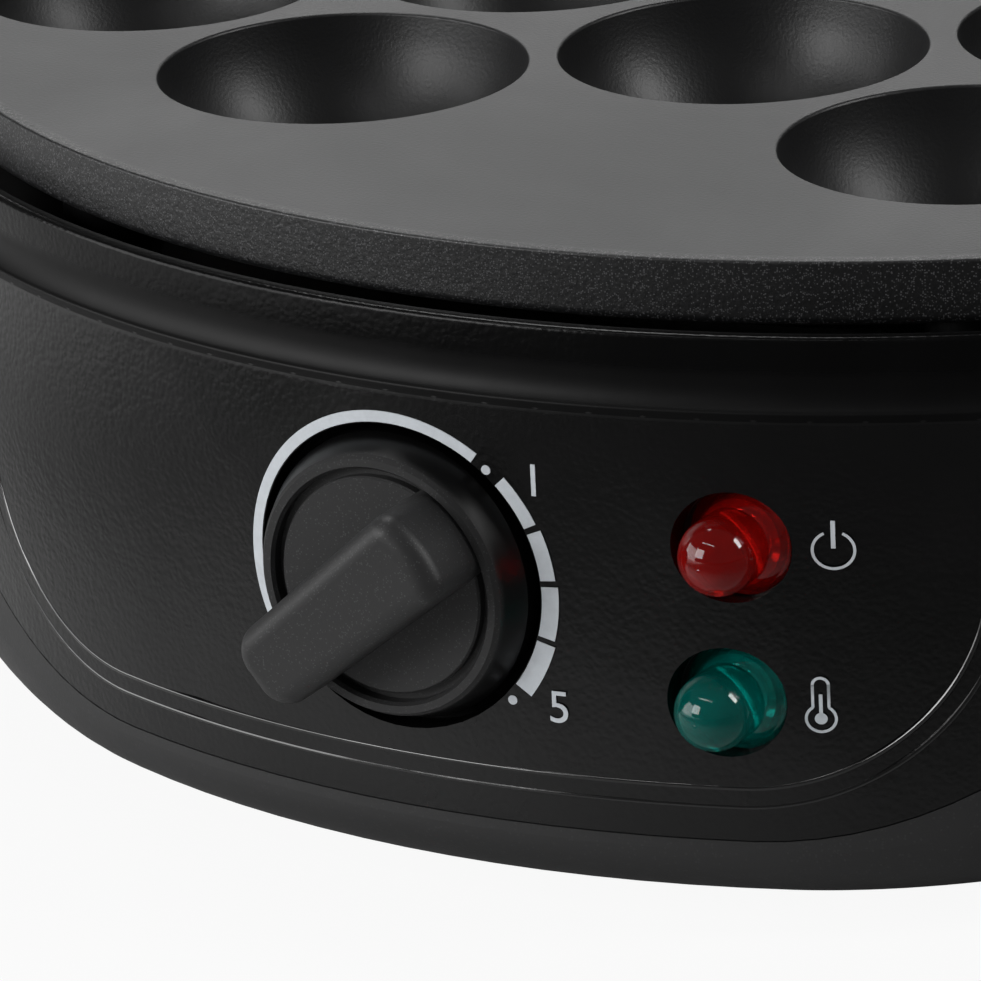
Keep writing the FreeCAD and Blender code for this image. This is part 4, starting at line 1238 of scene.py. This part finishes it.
@dataclass
class Studio:
    """Pale floor, plain light and the camera at the photograph's angle."""

    lens: float = 268.663
    shift: tuple[float, float] = (-0.0394, -0.0092)
    camera_place: tuple[float, float, float] = (0.36807, -0.70283, 0.30025)
    heading: float = 31.0
    elevation: float = 20.2827
    roll: float = -2.6356
    floor_half: float = 6.0
    floor_white: float = 0.95
    floor_grey: float = 0.80
    # Painted reflection on the floor for gloss: its dark grey, and where its pools of light lie.
    painted_reflection_dark: float = 0.10
    beside_reach: tuple[float, float] = (0.14, 0.235)
    beside_left: tuple[float, float] = (-0.15, 0.08)
    far_left: tuple[float, float] = (0.10, 0.25)
    ambient: float = 0.03
    wall_light: float = 0.09

    def camera(self) -> None:
        """Creates the camera and makes it the scene's."""
        data = bpy.data.cameras.new("camera")
        data.lens = self.lens
        data.sensor_width = 36.0
        data.shift_x, data.shift_y = self.shift
        data.clip_start = 0.02
        camera = bpy.data.objects.new("camera", data)
        bpy.context.scene.collection.objects.link(camera)
        camera.matrix_world = (
            Matrix.Translation(self.camera_place)
            @ Matrix.Rotation(math.radians(self.heading), 4, "Z")
            @ Matrix.Rotation(math.radians(90 - self.elevation), 4, "X")
            @ Matrix.Rotation(math.radians(self.roll), 4, "Z")
        )
        bpy.context.scene.camera = camera

    def floor(self) -> None:
        """Adds the pale floor: white to the camera wherever nothing shades it; gloss sees a painted reflection on
        it, bright beside the object's left and far to the left, and dark elsewhere.
        """
        start_alone()
        bpy.ops.mesh.primitive_plane_add(size=2 * self.floor_half)
        floor = bpy.context.object
        floor.name = "studio_floor"
        sheet = Sheet("studio_floor")
        sheet.fix(Roughness=0.9, Specular_IOR_Level=0.1)
        board = sheet.board
        glow = board.add("ShaderNodeEmission", in_Color=(*(BACKDROP_WHITE,) * 3, 1.0))
        rays = board.add("ShaderNodeLightPath")
        # Painted reflection: to glossy rays the floor is a painted pool of light near the object's left side and
        # far to the left, and painted dark elsewhere.
        left = board.sum_up("MULTIPLY", sheet.axis("X"), -1.0)
        near = board.inverted(sheet.step(sheet.radius(), *self.beside_reach))
        beside = board.sum_up("MULTIPLY", near, sheet.step(left, *self.beside_left))
        bright = board.sum_up("MAXIMUM", beside, sheet.step(left, *self.far_left))
        mirrored = board.blend(bright, (self.painted_reflection_dark,) * 3, (1.0, 1.0, 1.0))
        sheet.drive("Base Color", board.blend(rays.outputs["Is Glossy Ray"], (self.floor_grey,) * 3, mirrored))
        mixed = board.add("ShaderNodeMixShader")
        board.join(board.sum_up("MULTIPLY", rays.outputs["Is Camera Ray"], self.floor_white), mixed.inputs[0])
        board.join(sheet.shader.outputs[0], mixed.inputs[1])
        board.join(glow.outputs[0], mixed.inputs[2])
        board.join(mixed.outputs[0], sheet.material.node_tree.nodes["Material Output"].inputs["Surface"])
        floor.data.materials.append(sheet.material)

    def world(self) -> None:
        """Adds faint grey light all round, a dark grey that gloss and glass show, and white for the camera."""
        world = bpy.data.worlds.new("studio")
        bpy.context.scene.world = world
        world.use_nodes = True
        board = Board(world.node_tree)
        backdrop = world.node_tree.nodes["Background"]
        rays = board.add("ShaderNodeLightPath")
        mirrored = board.sum_up("MAXIMUM", rays.outputs["Is Transmission Ray"], rays.outputs["Is Glossy Ray"])
        grey = board.blend(mirrored, (self.ambient,) * 3, (self.wall_light,) * 3)
        board.join(board.blend(rays.outputs["Is Camera Ray"], grey, (BACKDROP_WHITE,) * 3),
                   backdrop.inputs["Color"])

    def lamps(self) -> None:
        """Adds the soft boxes."""
        boxes = (
            SoftBox("left_box", (-1.00, -0.75, 0.30), (0.0, 0.0, 0.04), (0.9, 0.6), 5.6),
            SoftBox("right_box", (0.9, 0.25, 0.7), (0.0, 0.0, 0.05), (0.25, 0.5), 5.0),
            SoftBox("top_box", (-0.45, 0.25, 1.1), (0.0, 0.0, 0.05), (0.4, 0.4), 3.7),
            SoftBox("back_box", (-0.55, 0.95, 0.45), (0.0, 0.0, 0.06), (1.2, 0.35), 2.5),
            SoftBox("strip_box", (-0.10, -0.80, 0.95), (0.0, -0.1, 0.04), (0.8, 0.06), 0.9),
            SoftBox("front_box", (-0.5, -1.1, 0.45), (0.0, 0.0, 0.04), (0.5, 0.5), 5.3),
        )
        for box in boxes:
            box.build()

    def build(self) -> None:
        """Sets the studio up."""
        bpy.context.scene.view_settings.view_transform = "Standard"
        self.camera()
        self.floor()
        self.world()
        self.lamps()


def build_finishes() -> dict[str, bpy.types.Material]:
    """Builds every finish once.

    Returns:
        The materials by name.
    """
    effects = Effects()
    finishes = {
        "plate": CastCoating(),
        "shell": GlossyShell(),
        "tub": SatinMoulding("satin_tub", (0.024, 0.024, 0.0245)),
        "knob": DialPlastic(),
        "band": GlossyShell("band_gloss", roughness=0.20, specular=0.16),
        "groove": GlossyShell("groove_gloss", roughness=0.10, specular=1.0, grain_depth=0.004 * MM),
        "gland": SatinMoulding("satin_gland", (0.012, 0.012, 0.012), roughness=0.42, specular=0.4,
                               spark_size=3000.0, spark_depth=0.01 * MM, cover=0.1),
        "rubber": SatinMoulding("foot_rubber", (0.018, 0.018, 0.018), roughness=0.8, specular=0.3,
                                spark_size=1500.0, spark_depth=0.04 * MM, cover=0.2),
        "red": LensPlastic("red_lens", (0.95, 0.012, 0.008)),
        "green": LensPlastic("green_lens", (0.0, 0.50, 0.42)),
        "ink": PrintInk(),
        "steel": InnerStock("plated_steel", (0.56, 0.56, 0.55), metallic=1.0, roughness=0.3),
        "reflector": ShadePaintedReflector(),
        "mica": InnerStock("mica", (0.66, 0.60, 0.48), roughness=0.5),
        "ceramic": InnerStock("ceramic", (0.78, 0.76, 0.70), roughness=0.6),
        "bulb": InnerStock("neon_glass", (0.9, 0.85, 0.8), roughness=0.05, transmission=0.8),
    }
    return {name: finish.build(effects) for name, finish in finishes.items()}


def main() -> None:
    """Builds the whole scene in order."""
    logging.basicConfig(level=logging.INFO, format="%(message)s")
    made = build_finishes()
    carcass = Carcass({
        "plate": ("cooking_plate",),
        "shell": ("upper_housing",),
        "tub": ("bottom_cover",),
        "knob": ("control_knob",),
        "gland": ("cord_gland",),
        "rubber": ("foot_front_left", "foot_front_right", "foot_rear_left", "foot_rear_right"),
        "red": ("power_lamp_lens",),
        "green": ("ready_lamp_lens",),
        "steel": ("heating_element", "element_clamps", "clamp_screws", "plate_screws", "cover_screws",
                  "knob_clip", "thermostat_shaft", "thermostat_nut", "power_lamp_retainer",
                  "ready_lamp_retainer"),
        "reflector": ("heat_reflector",),
        "mica": ("heat_washers",),
        "ceramic": ("thermostat_body", "terminal_block"),
        "bulb": ("power_neon_lamp", "ready_neon_lamp"),
    })
    carcass.build(made)
    PanelPrint().build(made["ink"])
    PanelGroove().build(made["groove"])
    BandSkin().build(made["band"])
    PointerMark().build(made["ink"])
    Studio().build()


if __name__ == "__main__":
    main()
